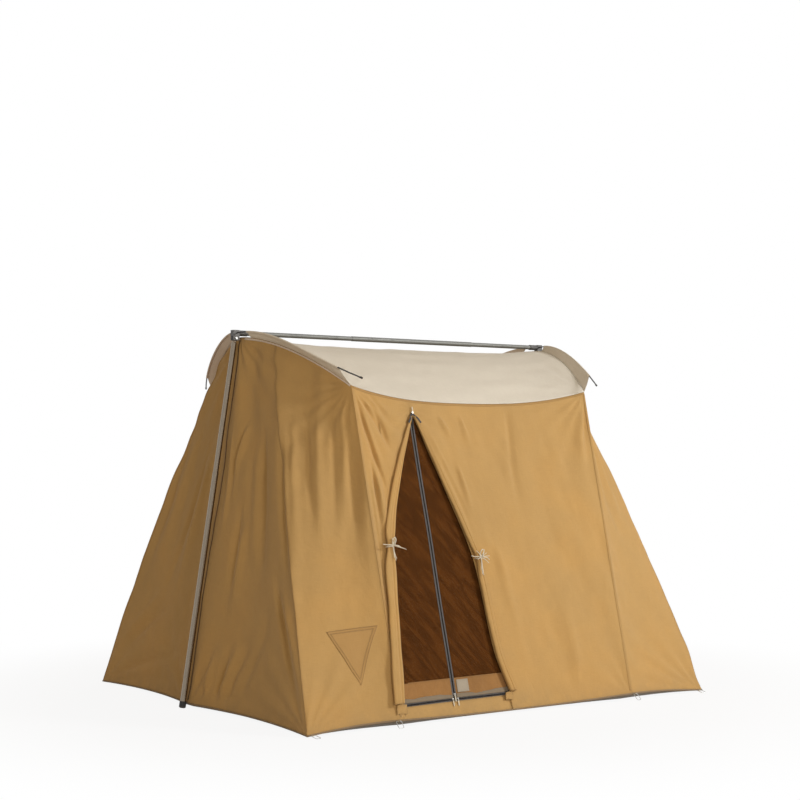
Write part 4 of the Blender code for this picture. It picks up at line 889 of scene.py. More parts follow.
# The front wall's folds, by x and z
FRONT_FOLDS = [
    (((-0.786, 1.662), (-0.728, 1.452), (-0.679, 1.253)), 0.012, -0.0055, 0.4),
    (((-0.754, 1.651), (-0.649, 1.503), (-0.58, 1.366)), 0.011, -0.005, 0.3),
    (((-0.69, 1.653), (-0.61, 1.577), (-0.552, 1.506)), 0.01, -0.0038, 0.2),
    (((-0.673, 1.602), (-0.604, 1.458), (-0.574, 1.339)), 0.012, -0.005, 0.4),
    (((-0.74, 1.57), (-0.69, 1.4), (-0.645, 1.24)), 0.016, 0.0048, 0.0),
    (((-0.712, 1.391), (-0.655, 1.198), (-0.649, 1.081)), 0.012, -0.005, 0.3),
    (((-0.725, 1.329), (-0.717, 1.138), (-0.713, 0.957), (-0.719, 0.784)), 0.013, -0.0055, 0.3),
    (((-0.7, 1.25), (-0.682, 1.05), (-0.682, 0.85)), 0.016, 0.005, 0.0),
    (((-0.76, 1.25), (-0.752, 1.0), (-0.745, 0.7), (-0.738, 0.42)), 0.016, -0.004, 0.0),
    (((-0.31, 1.47), (-0.291, 1.42), (-0.22, 1.261), (-0.18, 1.13)), 0.012, 0.005, 0.0),
    (((-0.275, 1.388), (-0.221, 1.251), (-0.16, 1.099), (-0.092, 0.872)), 0.013, -0.006, 0.3),
    (((-0.226, 1.532), (-0.147, 1.421)), 0.013, 0.004, 0.0),
    (((-0.073, 1.548), (-0.034, 1.377)), 0.015, 0.004, 0.0),
    (((-0.141, 1.291), (-0.113, 1.157), (-0.087, 0.997)), 0.017, 0.005, 0.0),
    (((0.256, 1.593), (0.25, 1.461), (0.235, 1.268), (0.24, 1.0)), 0.022, -0.004, 0.0),
    (((0.785, 1.674), (0.77, 1.357)), 0.018, -0.0045, 0.3),
    (((0.76, 1.64), (0.7, 1.42), (0.69, 1.2)), 0.022, 0.0045, 0.0),
    (((0.02, 0.9), (0.06, 0.6), (0.1, 0.3)), 0.03, 0.0035, 0.0),
    (((0.42, 0.07), (0.43, 0.3), (0.41, 0.6)), 0.035, 0.0035, 0.0),
]
# The end panels' folds, by a coordinate that runs from the gusset's outer seam to the pole, and by z
END_FOLDS = [
    (((0.53, 1.506), (0.515, 1.094), (0.502, 0.643)), 0.02, -0.0075, 0.2),
    (((0.57, 1.42), (0.56, 1.1), (0.55, 0.7)), 0.022, 0.006, 0.0),
    (((0.419, 1.49), (0.356, 1.0), (0.271, 0.621)), 0.016, -0.0085, 0.3),
    (((0.35, 1.53), (0.31, 1.2), (0.265, 0.904), (0.23, 0.6)), 0.018, 0.008, 0.0),
    (((0.279, 1.51), (0.239, 1.197), (0.192, 0.902)), 0.014, -0.007, 0.2),
    (((0.222, 1.54), (0.184, 1.199), (0.136, 0.807)), 0.017, 0.0065, 0.0),
    (((0.148, 1.58), (0.118, 1.249), (0.089, 0.902)), 0.013, -0.0055, 0.0),
    (((0.098, 1.61), (0.071, 1.3), (0.043, 1.0)), 0.014, 0.0045, 0.0),
    (((0.063, 1.54), (0.023, 1.198), (-0.025, 0.803)), 0.014, -0.0055, 0.2),
    (((0.38, 0.7), (0.34, 0.55), (0.263, 0.324), (0.16, 0.045)), 0.018, -0.0095, 0.4),
    (((0.33, 0.68), (0.25, 0.43), (0.175, 0.2), (0.138, 0.06)), 0.018, 0.007, 0.0),
    (((0.629, 1.515), (0.683, 1.325), (0.732, 1.14)), 0.012, 0.0055, 0.3),
    (((0.655, 1.5), (0.705, 1.3), (0.745, 1.05)), 0.01, -0.0045, 0.0),
    (((0.723, 1.484), (0.749, 1.194), (0.773, 0.878)), 0.012, 0.005, 0.3),
    (((0.643, 1.092), (0.682, 0.781), (0.719, 0.521)), 0.015, -0.0055, 0.2),
    (((0.6, 1.0), (0.64, 0.74), (0.68, 0.5)), 0.016, 0.005, 0.0),
    (((0.84, 0.045), (0.802, 0.184), (0.755, 0.316)), 0.012, 0.0055, 0.3),
    (((0.775, 0.042), (0.722, 0.211), (0.662, 0.367)), 0.013, -0.006, 0.3),
    (((0.74, 0.045), (0.67, 0.225), (0.6, 0.39)), 0.013, 0.0055, 0.0),
    (((0.706, 0.042), (0.626, 0.231), (0.54, 0.391)), 0.014, -0.0055, 0.3),
    (((0.614, 0.086), (0.456, 0.401), (0.413, 0.604)), 0.022, -0.005, 0.0),
]
REAR_FOLDS = [
    (((0.451, 1.631), (0.385, 1.069), (0.237, 0.434)), 0.02, -0.007, 0.2),
    (((0.5, 1.56), (0.45, 1.1), (0.33, 0.5)), 0.022, 0.006, 0.0),
    (((0.634, 1.458), (0.57, 0.969), (0.461, 0.462)), 0.018, -0.0065, 0.2),
    (((0.68, 1.4), (0.64, 1.0), (0.56, 0.5)), 0.018, 0.0055, 0.0),
    (((0.208, 0.201), (0.394, 0.397), (0.579, 0.525)), 0.02, -0.0055, 0.2),
    (((0.22, 0.26), (0.38, 0.47), (0.54, 0.64)), 0.02, 0.005, 0.0),
    (((0.159, 0.066), (0.451, 0.179), (0.789, 0.284)), 0.018, -0.005, 0.2),
    (((0.26, 1.56), (0.2, 1.1), (0.12, 0.6)), 0.018, -0.006, 0.2),
    (((0.2, 1.58), (0.14, 1.15), (0.07, 0.7)), 0.018, 0.0055, 0.0),
    (((0.11, 1.6), (0.06, 1.2), (0.01, 0.8)), 0.014, -0.005, 0.0),
]

LEFT_EAVE, RIGHT_EAVE = (-EAVE_HALF_LENGTH, EAVE_Z), (EAVE_HALF_LENGTH, EAVE_Z)
LEFT_FOOT, RIGHT_FOOT = (-SEAM_FOOT_HALF, 0.0), (SEAM_FOOT_HALF, 0.0)
# Fans of small folds: where they start, how many, their reach, depth and phase
FRONT_FANS = [
    (LEFT_EAVE, 22, 0.40, 0.0075, 0.4), (RIGHT_EAVE, 20, 0.38, 0.0065, 1.1),
    ((DOOR_X, DOOR_TOP + 0.03), 13, 0.20, 0.0035, 0.2),
    (LEFT_FOOT, 13, 0.22, 0.0036, 0.9), (RIGHT_FOOT, 13, 0.28, 0.0046, 0.3),
]
REAR_FANS = [
    (LEFT_EAVE, 21, 0.40, 0.0080, 2.4), (RIGHT_EAVE, 23, 0.40, 0.0080, 0.7),
    (LEFT_FOOT, 13, 0.28, 0.0050, 0.5), (RIGHT_FOOT, 13, 0.28, 0.0050, 1.7),
]


# Lumps: their depth, lean, stretch up the panel, size and seed
FRONT_LUMPS = [(0.0085, 0.35, 0.4, 0.15, 3), (0.0024, 0.2, 0.4, 0.05, 5)]
REAR_LUMPS = [(0.0085, 0.2, 0.45, 0.17, 13), (0.0020, 0.0, 0.5, 0.045, 15)]
FRONT_DRAPES = [(0.0075, 0.0, 0.16, 0.10, 11)]
REAR_DRAPES = [(0.0085, 0.0, 0.16, 0.10, 17)]
SIDE_WALL_FLAT = (1.66, 1.70)


def fans(a, b, table):
    return sum(fan(a, b, *row) for row in table)


def lumps(a, b, table):
    return sum(depth * ripple(a + lean * b, b * stretch, cell, seed) for depth, lean, stretch, cell, seed in table)


def upper(h, slope, start):
    """0 low on a panel, and 1 from the middle of it upwards."""
    return np.clip(h * slope - start, 0, 1)


def held_edge(h, foot=0.05, head=0.03):
    """1 over most of a panel's height and 0 along its foot and its head."""
    return np.clip(h / foot, 0, 1) * np.clip((1 - h) / head, 0, 1)


def over_panel(low, high, cols, rows, foot=0.0, head=1.0):
    """A panel's own coordinates over a whole grid, across and up."""
    return np.meshgrid(np.linspace(low, high, cols), np.linspace(foot, head, rows))


def wall_edges(z):
    return [np.array([wall_edge(side, level) for level in z]) for side in (-1, 1)]


def front_grids():
    """The front wall on both sides of the door, which meet over its top."""
    apex, top = (float(value) for value in wall_coords(DOOR_X, DOOR_TOP))
    heights = np.concatenate([np.linspace(0.0, top, 150), np.linspace(top, 1.0, 14)[1:]])
    for side, cols in ((-1, 78), (1, 170)):
        inner = []
        for h in heights:
            u = apex
            for _ in range(8 if h <= top + 1e-9 else 0):
                z = min(float(side_wall(np.array(u), h)[2]), DOOR_TOP)
                u = float(wall_coords(wall_edge(side, z), z)[0])
            inner.append(u)
        inner = np.array(inner)[:, None]
        low, high = (-1.0, inner) if side < 0 else (inner, 1.0)
        u = low + (high - low) * np.linspace(0.0, 1.0, cols)
        h = np.broadcast_to(heights[:, None], u.shape)
        yield side_wall(u, h) * [1, -1, 1], u, h


def from_door(x, z):
    """How far places on the front wall are from the nearer edge of the door."""
    levels = np.linspace(HEM_DOOR_LIFT, DOOR_TOP, 80)
    left, right = (np.abs(x - np.interp(z, levels, edge)) for edge in wall_edges(levels))
    return np.minimum(left, right) + np.maximum(z - DOOR_TOP, 0.0)


def front_relief(base, u, h):
    x, z = base[..., 0], base[..., 2]
    free = eased_in((from_door(x, z) - 0.03) / 0.12)
    uneven = lumps(x, z, FRONT_LUMPS) + lumps(x, z, FRONT_DRAPES) * upper(h, 3.0, 1.2)
    rise = (1.0 + 2.2 * free) * creases(x, z, FRONT_FOLDS, 1.1) + fans(x, z, FRONT_FANS)
    return (rise + (0.4 + 0.6 * free) * uneven) * eased_in((1 - np.abs(u)) / 0.05) * held_edge(h)


def make_front():
    grids = []
    for base, u, h in front_grids():
        grids.append(base + outward(base * [1, -1, 1]) * [1, -1, 1] * lift(front_relief(base, u, h)))
    cells = [np.cross(np.diff(grid[:-1], axis=1), np.diff(grid[:, :-1], axis=0)) for grid in grids]
    area = sum(float(np.linalg.norm(cell, axis=2).sum()) for cell in cells)
    wall = cloth_piece("front_canvas", grids)
    nodes = "front_wall_left front_wall_right"
    return declare(wall, nodes, SIDE_WALL_FLAT, "ridge_pole_middle", round(area, 2))


def make_rear():
    u, h = over_panel(-1.0, 1.0, 130, 130)
    base = side_wall(u, h)
    x, z = base[..., 0], base[..., 2]
    more = fans(x, z, REAR_FANS) + lumps(x, z, REAR_LUMPS) + lumps(x, z, REAR_DRAPES) * upper(h, 3.0, 1.2)
    more = more * np.clip((1 - np.abs(u)) / 0.12, 0, 1) * held_edge(h)
    grid = base + outward(base) * lift(fold(0.5 * FOLD_DEPTH, 3, (u + 1) / 2, h) + more)
    return declare(cloth_piece("rear_canvas", [grid]), "rear_wall", SIDE_WALL_FLAT, "ridge_pole_middle")


def end_relief(s, h, base, seed):
    y, z = base[..., 1], base[..., 2]
    way = np.abs(s)
    wall_fold = fold(FOLD_DEPTH, 3, (s + 1) / 2, h)
    rise = np.where(way <= 1, wall_fold, fold(FOLD_DEPTH, 1, np.clip(way - 1, 0, 1), h))
    # The folds' coordinate runs round the corner, and it wanders a little at the right end.
    wander = 0.010 * ripple(z, z * 0 + seed, 0.3, 80 + seed) * (seed > 1)
    t = (np.abs(base[..., 0]) - np.abs(y)) / math.sqrt(2) + wander
    front = (1.5 + 1.3 * eased_in((1.12 - way) / 0.2)) * creases(t, z, END_FOLDS, 1.3)
    rear = 2.2 * creases(t, z, REAR_FOLDS, 1.3)
    end_fans = [
        ((0.045, EAVE_Z), 19, 0.32, 0.0070, seed), ((0.12, 0.0), 17, 0.36, 0.0085, seed * 0.5),
        ((0.95, 0.0), 17, 0.34, 0.0090, seed), ((0.725, ARCH_Z), 17, 0.50, 0.0070, seed + 2.0),
    ]
    more = np.where(y < 0, front, rear) * eased_in(np.abs(y) / 0.06) + fans(t, z, end_fans)
    more = more + lumps(t, z, [(0.0060, 0.0, 0.5, 0.15, 20 + seed), (0.0018, 0.0, 0.5, 0.040, 30 + seed)])
    more = more + lumps(t, z, [(0.0110, 0.0, 0.12, 0.070, 40 + seed)]) * upper(h, 2.6, 0.5)
    return rise + more * eased_in((2 - way) / 0.10) * held_edge(h, 0.04)


END_PARTS = (("gusset_front", -2, -1, 92), ("end_wall", -1, 1, 262), ("gusset_rear", 1, 2, 92))
END_WALL_CUT = ((2.66, 2.00), 3.15)  # flat size and area
GUSSET_CUT = ((0.62, 1.80), 0.98)


def make_end(way, end, seed):
    """The end wall and the gussets on both sides of it, each a piece of its own."""
    pieces = {}
    for part, low, high, count in END_PARTS:
        s, h = over_panel(low, high, count, 176)
        base = end_panel(s, h)
        grid = base + outward(base) * lift(end_relief(s, h, base, seed))
        panel = cloth_piece(f"{part}_canvas_{way}", [soften(grid) * [end, 1, 1]])
        flat, area = END_WALL_CUT if part == "end_wall" else GUSSET_CUT
        pieces[part] = declare(panel, f"{part}_{way}", flat, f"hub_{way}", area)
    return pieces


def make_roof():
    u, v = over_panel(-1.0, 1.0, 140, 136, -1.0)
    base = roof(u, v)
    x, y = base[..., 0], base[..., 1]
    fade = np.clip((1 - np.abs(u)) / 0.08, 0, 1) * np.clip((1 - np.abs(v)) / 0.10, 0, 1)
    rise = 0.0040 * ripple(x * 0.22, y, 0.07, 50) + 0.0018 * ripple(x, y, 0.08, 51)
    corners = [(end, side) for end in (-1, 1) for side in (-1, 1)]
    spread = [((e * EAVE_HALF_LENGTH, s * EAVE_HALF_WIDTH), 15, 0.26, 0.0045, e + s) for e, s in corners]
    grid = base + lift((rise + fans(x, y, spread)) * fade) * [0, 0, 1] + [0, 0, CANVAS]
    panel = cloth_piece("roof_sheet", [grid], "roof")
    declare(panel, "roof_panel", (2.05, 1.66), "ridge_pole_middle")


def make_overhangs():
    """The strip at each end of the roof that carries the sleeve of a bow rod."""
    shares = np.linspace(SLEEVE_START, 1.0, 90)
    seam_line = arch(shares)
    axis = bow(SLEEVE_SHARE * shares)
    tangent = unit(np.gradient(axis, axis=0))
    span = seam_line - axis
    span = unit(span - tangent * (span * tangent).sum(axis=1, keepdims=True))
    up = np.cross(span, tangent)
    up = np.where(up[:, 2:] < 0, -up, up)
    radius = ROD_RADIUS + SLEEVE_CLEAR
    near, far = seam_line + (axis - seam_line) * 0.02, axis + up * radius
    strip = np.linspace(0.0, 1.0, 10)[:-1]
    columns = [near + (far - near) * t - up * STRIP_SAG * math.sin(math.pi * t) for t in strip]
    for angle in np.radians(np.linspace(90, 380, 15)):
        columns.append(axis + span * (radius * math.cos(angle)) + up * (radius * math.sin(angle)))
    grid = np.stack(columns, axis=1)
    for way, end in WAYS:
        for row, side in ROWS:
            # The front strips take the copy of the roof cloth with less painted shade, the rear strips the one
            # with more.
            look = "sleeve_pale" if row == "front" else "sleeve"
            place = f"{way}_{row}"
            strip = cloth_piece(f"sleeve_strip_{place}", [grid * [end, side, 1]], look, THIN)
            declare(strip, f"overhang_{place}", (0.075, 0.85), f"bow_rod_{place}")


def all_round(quarter):
    """A closed line round the tent, from its quarter at the end at +X and the side at +Y."""
    quarter = np.array(quarter)
    back = quarter[-2::-1]
    return np.concatenate([quarter, back * [1, -1, 1], quarter[1:] * [-1, -1, 1], back[:-1] * [-1, 1, 1]])


def make_floor():
    quarter = [side_hem(np.array(u)) for u in np.linspace(0.0, 1.0, 24)]
    quarter += [gusset_hem(np.array(w)) for w in np.linspace(1.0, 0.0, 20)[1:]]
    quarter += [end_hem(np.array(w)) for w in np.linspace(1.0, 0.0, 40)[1:]]
    loop = all_round(quarter)
    closed = np.concatenate([loop, loop[:1]])
    rows = []
    for inset_by, share in ((0.0, 1.0), (0.018, 0.62), (0.036, 0.22), (0.055, 0.0)):
        ring = closed * [1 - inset_by / BASE_HALF_LENGTH, 1 - inset_by / BASE_HALF_WIDTH, 1.0]
        ring[:, 2] = (closed[:, 2] - 0.0015) * share + FLOOR_LIFT * (1 - share)
        rows.append(ring)
    for reach in np.linspace(0.94, 0.02, 26):
        ring = rows[3] * [reach, reach, 1.0]
        ring[:, 2] = FLOOR_LIFT + 0.0008 * (1 + ripple(ring[:, 0], ring[:, 1], 0.11, 60))
        rows.append(ring)
    sheet = cloth_piece("floor_cloth", [np.array(rows)], "floor")
    declare(sheet, "floor_sheet", (2.72, 2.30), "floor_sheet", 5.3)


def make_sill():
    share = np.linspace(0.0, 1.0, 9)
    left, right = wall_edges(HEM_DOOR_LIFT + (SILL_TOP - HEM_DOOR_LIFT) * share)
    left, right = left[:, None] + 2 * GAP, right[:, None] - 2 * GAP
    x = left + (right - left) * np.linspace(0.0, 1.0, 46)
    foot = on_front(x, side_hem(x / SEAM_FOOT_HALF)[..., 2])
    grid = foot + (on_door(x, np.full_like(x, SILL_TOP)) - foot) * share[:, None, None]
    ends = []
    for k in (0, -1):
        face = on_front(grid[:, k, 0], np.maximum(grid[:, k, 2], foot[0, k, 2])) - DOOR_NORMAL * 0.0022
        ends.append([face, (face + grid[:, k]) / 2])
    grid = np.stack(ends[0] + list(grid.transpose(1, 0, 2)) + ends[1][::-1], axis=1)
    declare(cloth_piece("sill_canvas", [grid]), "door_sill", (0.68, 0.08), "floor_sheet")


def flap_row(side, z, tie_height, ridges):
    """The flap's rolled cloth at one height, from its inner end outwards."""
    near_tie = math.exp(-(((z - tie_height) / TIE_SPREAD) ** 2))
    half = flap_half(side, z) * (1 - (1 - PINCH) * near_tie)
    thick = flap_thick(z) * (1 - (1 - TIED_THICK) * near_tie) * FLAP_FILL
    axis, rest = flap_axis(side, z), flap_lift(z, tie_height)
    swell = 0.92 + 0.05 * math.sin(11.0 * z + side) + 0.03 * math.sin(27.0 * z + 1.3)
    row = []
    for t in np.linspace(0.0, 1.0, 84):
        angle = math.radians(200 + 360 * FLAP_TURNS * t)
        shrink = 1.0 - 0.36 * max(0.0, t - 0.45)
        a, b = (math.copysign(abs(v) ** 0.9, v) for v in (math.cos(angle), math.sin(angle)))
        groove = 0.0
        for place, width, depth, sway in ridges:
            at = place + 0.10 * math.sin(sway * z + 3.0 * place)
            groove += depth * math.exp(-(((a + at) / width) ** 2))
        across = half * a * shrink * swell
        out = thick * (0.5 + 0.48 * b * shrink * (1 - groove * (b > 0)))
        row.append(on_front(axis - side * across, z) + DOOR_NORMAL * (rest + out))
    return row


def make_flap(way, side, tie_height, ridges, width):
    """A door flap rolled along its edge of the opening and drawn in by its tie."""
    heights = np.linspace(SCREEN_FOOT + FLAP_CLEAR, DOOR_TOP - FLAP_CLEAR, 130)
    grid = np.array([flap_row(side, z, tie_height, ridges) for z in heights])
    sheet = cloth_piece(f"flap_cloth_{way}", [grid], thick=ROLLED)
    area = round(width * 1.5 * 0.45, 3)
    declare(sheet, f"door_flap_{way}", (width, 1.50), f"front_wall_{way}", area)


def zip_wave(z):
    """How far the vertical zip wanders from a straight line."""
    share = np.clip((z - SCREEN_FOOT) / (DOOR_TOP - SCREEN_FOOT), 0, 1)
    return 0.0016 * np.sin(8.0 * z + 0.6) * np.sin(math.pi * share)


def screen_area(side, low, high, cols, rows, out, seed):
    """A part of one half of the screen, a little wrinkled, between two heights."""
    z = np.linspace(low, high, rows)[:, None]
    c = np.linspace(0.0, 1.0, cols)[None, :]
    free = DOOR_X + side * (0.0008 + TAPE_WIDTH - 0.001) + zip_wave(z)
    x = free + (screen_side(side, z) - free) * c
    z = np.broadcast_to(z, x.shape)
    lumps = ripple(x + z * 0.5, z * 0.25, 0.05, seed) + 0.6 * ripple(x - 0.3 * z, z, 0.09, seed + 1)
    return on_door(x, z, out + 0.0022 * lumps * np.sin(math.pi * c) ** 0.5)


# The screen's halves: side, the net's width and area, and the kick band's width
SCREEN_CUTS = (("left", -1, 0.31, 0.30, 0.31), ("right", 1, 0.41, 0.40, 0.40))


def make_screens():
    band_top = SCREEN_FOOT + KICK_HEIGHT
    for way, side, net_width, net_area, band_width in SCREEN_CUTS:
        body, wall = f"screen_half_{way}", f"front_wall_{way}"
        grid = screen_area(side, band_top - 0.004, DOOR_TOP, 24, 110, -0.0004, 70)
        net = cloth_piece(f"screen_net_{way}", [grid], "net", NETTING, body)
        declare(net, f"screen_{way}", (net_width, 1.45), wall, net_area)
        grid = screen_area(side, SCREEN_FOOT + GAP, band_top, 60, 20, 0.0004, 74)
        band = cloth_piece(f"kick_cloth_{way}", [grid], "kick", THIN, body)
        declare(band, f"kick_band_{way}", (band_width, KICK_HEIGHT), wall)
        c, z = over_panel(0.0, 1.0, 5, 120, SCREEN_FOOT + GAP, DOOR_TOP)
        grid = on_door(DOOR_X + side * (0.0008 + TAPE_WIDTH * c) + zip_wave(z), z, ON_TAPE)
        tape = cloth_piece(f"zip_tape_cloth_{way}", [grid], "tape", TAPE, body)
        declare(tape, f"zip_tape_{way}", (TAPE_WIDTH, DOOR_TOP - SCREEN_FOOT), f"screen_{way}")
        heights = np.linspace(SCREEN_FOOT, DOOR_TOP, 60)
        x = screen_side(side, heights)
        face = on_front(x, heights)
        columns = [face - outward(face * [1, -1, 1]) * [1, -1, 1] * 0.0120]
        columns += [on_door(x + side * across, heights, 0.0013) for across in (0.0, BINDING_WIDTH)]
        fin = cloth_piece(f"screen_edge_{way}", [np.stack(columns, axis=1)], thick=THIN)
        declare(fin, f"screen_binding_{way}", (0.019, 1.43), wall)
    ends = [screen_side(side, SILL_TOP) for side in (-1, 1)]
    x, z = over_panel(*ends, 60, 4, SILL_TOP + GAP, SCREEN_FOOT - 0.0005)
    tape = cloth_piece("zip_tape_cloth_bottom", [on_door(x, z, ON_TAPE)], "tape", TAPE)
    declare(tape, "zip_tape_bottom", (0.70, BOTTOM_ZIP), "door_sill")


FRONT = make_front()
REAR = make_rear()
ENDS = {"left": make_end("left", -1, 1), "right": make_end("right", 1, 2)}
make_roof()
make_overhangs()
make_floor()
make_sill()
# A flap's ridges: their place across it, width, depth and sway
make_flap("left", -1, LEFT_TIE_HEIGHT, ((-0.40, 0.15, 0.60, 4.0), (0.30, 0.20, 0.14, 6.0)), 0.33)
make_flap("right", 1, RIGHT_TIE_HEIGHT, ((-0.05, 0.18, 0.60, 5.0), (0.55, 0.14, 0.35, 7.0)), 0.34)
make_screens()


# Repeated pieces, grown by node groups


def node_group(name, wanted):
    """An empty node group with the given inputs."""
    group = bpy.data.node_groups.new(name, "GeometryNodeTree")
    group.interface.new_socket("Geometry", in_out="OUTPUT", socket_type="NodeSocketGeometry")
    for title, kind in (("Lines", "Geometry"), *wanted, ("Material", "Material")):
        group.interface.new_socket(title, in_out="INPUT", socket_type=f"NodeSocket{kind}")
    tree = Tree(group)
    source = group.nodes.new("NodeGroupInput")
    return group, tree, {socket.name: Link(tree, socket) for socket in source.outputs if socket.name}


def close_group(tree, shape, material):
    real = tree.node("GeometryNodeRealizeInstances", {}, {"Geometry": shape})
    tree.end("NodeGroupOutput", tree.node("GeometryNodeSetMaterial", {}, {"Geometry": real, "Material": material}))


def spaced_marks(tree, lines, step):
    curves = tree.node("GeometryNodeMeshToCurve", {}, {"Mesh": lines})
    return tree.node("GeometryNodeResampleCurve", {"mode": "LENGTH"}, {"Curve": curves, "Length": step})


def stitch_group():
    """One stitch at every pitch along the lines."""
    group, tree, given = node_group("stitch_rows", [(name, "Float") for name in ("Pitch", "Stitch", "Thread")])
    marks = spaced_marks(tree, given["Lines"], given["Pitch"])
    tangent = tree.node("GeometryNodeInputTangent")
    turn = tree.node("FunctionNodeAlignRotationToVector", {"axis": "X"}, {"Vector": tangent})
    bead = tree.node("GeometryNodeMeshIcoSphere", {}, {"Radius": 0.5, "Subdivisions": 1})
    size = tree.node("ShaderNodeCombineXYZ", {}, {0: given["Stitch"], 1: given["Thread"], 2: given["Thread"]})
    sockets = {"Points": marks, "Instance": bead, "Rotation": turn, "Scale": size}
    close_group(tree, tree.node("GeometryNodeInstanceOnPoints", {}, sockets), given["Material"])
    return group


def coil_group():
    """A zip's coil: a flattened spring along the lines."""
    inputs = [(name, "Float") for name in ("Pitch", "Width", "Height", "Wire")]
    group, tree, given = node_group("zip_coil", inputs + [("Across", "Vector"), ("Out", "Vector")])
    marks = spaced_marks(tree, given["Lines"], given["Pitch"] / 8.0)
    turned = tree.node("GeometryNodeSplineParameter", {}, {}, 1) * math.tau / given["Pitch"]
    across = tree.vector("SCALE", given["Across"], turned.cosine() * given["Width"] * 0.5, "Scale")
    out = tree.vector("SCALE", given["Out"], turned.sine() * given["Height"] * 0.5, "Scale")
    both = tree.vector("ADD", across, out)
    wound = tree.node("GeometryNodeSetPosition", {}, {"Geometry": marks, "Offset": both})
    ring = {"Resolution": 4, "Radius": given["Wire"] * 0.5}
    wire = tree.node("GeometryNodeCurvePrimitiveCircle", {"mode": "RADIUS"}, ring)
    skin = tree.node("GeometryNodeCurveToMesh", {}, {"Curve": wound, "Profile Curve": wire, "Fill Caps": True})
    close_group(tree, skin, given["Material"])
    return group


STITCHES = stitch_group()
COIL = coil_group()


def grown(name, rows, group, values, body):
    """The plain mesh that a node group makes along rows of places."""
    points, lines = [], []
    for row in rows:
        start = len(points)
        points += [tuple(map(float, p)) for p in row]
        lines += [(start + k, start + k + 1) for k in range(len(row) - 1)]
    mesh = bpy.data.meshes.new(name)
    mesh.from_pydata(points, lines, [])
    obj = linked(name, mesh)
    modifier = obj.modifiers.new("grown", "NODES")
    modifier.node_group = group
    for item in group.interface.items_tree:
        if item.in_out == "INPUT" and item.name in values:
            modifier[item.identifier] = values[item.name]
    obj = plain(obj)
    obj.data.shade_smooth()
    return body_piece(obj, body)


def stitched(name, rows, body="tent", look="thread", pitch=0.005, stitch=0.0036, thread=0.0008):
    values = {"Pitch": pitch, "Stitch": stitch, "Thread": thread, "Material": MATERIALS[look]}
    return grown(name, rows, STITCHES, values, body)


def coiled(name, rows, width, height, across, body="tent"):
    values = {"Pitch": COIL_PITCH, "Width": width, "Height": height, "Wire": COIL_WIRE}
    values.update({"Out": list(map(float, DOOR_NORMAL)), "Across": list(map(float, across))})
    values["Material"] = MATERIALS["coil"]
    grown(name, rows, COIL, values, body)


# Seams, laid on the finished cloth


def search_tree(*pieces):
    """A search tree over the skins of finished pieces."""
    points, faces = [], []
    for piece in pieces:
        start = len(points)
        points += [v.co.copy() for v in piece.data.vertices]
        faces += [[start + i for i in f.vertices] for f in piece.data.polygons]
    return BVHTree.FromPolygons(points, faces)


def laid_on(tree, places, ways, rise, reach=0.03):
    """Places moved along the given ways onto the cloth, and lifted off it."""
    laid = []
    for place, way in zip(np.asarray(places).reshape(-1, 3), np.asarray(ways).reshape(-1, 3)):
        place, way = Vector(place), Vector(way).normalized()
        hit = tree.ray_cast(place + way * reach, -way, 2 * reach)[0]
        laid.append((hit or place) + way * rise)
    return np.array(laid).reshape(np.asarray(places).shape)


def along_seam(line, across, tree, marks, rise):
    """Columns of places beside a seam's line, laid on the cloth."""
    ways = outward(np.abs(line)) * np.where(line < 0, -1.0, 1.0) * [1, 1, 0] + outward(np.abs(line)) * [0, 0, 1]
    return [laid_on(tree, line + across * mark, ways, rise) for mark in marks]


def seam(name, line, across, cloth, look="canvas", marks=(-0.001, 0.003, 0.007, 0.0105), rows=(0.0012, 0.0090)):
    """A felled seam: a flat strip beside the seam's line. Gives back the rows for its stitches."""
    tree = search_tree(*cloth)
    grid = np.stack(along_seam(line, across, tree, marks, SEAM_LIFT), axis=1)
    strip = cloth_piece(name, [grid], look, STRIP)
    length = float(np.linalg.norm(np.diff(line, axis=0), axis=1).sum())
    flat = (max(marks[-1] - marks[0], 0.0105), round(length, 3))
    declare(strip, "", flat, cloth[0].name)
    return along_seam(line, across, tree, rows, STITCH_LIFT)


def beside(surface, at, inner, flip):
    """A line on a surface and the unit ways across it towards the inner line. Both are lists of coordinates."""
    line = surface(*at)
    return line * flip, unit(surface(*inner) - line) * flip


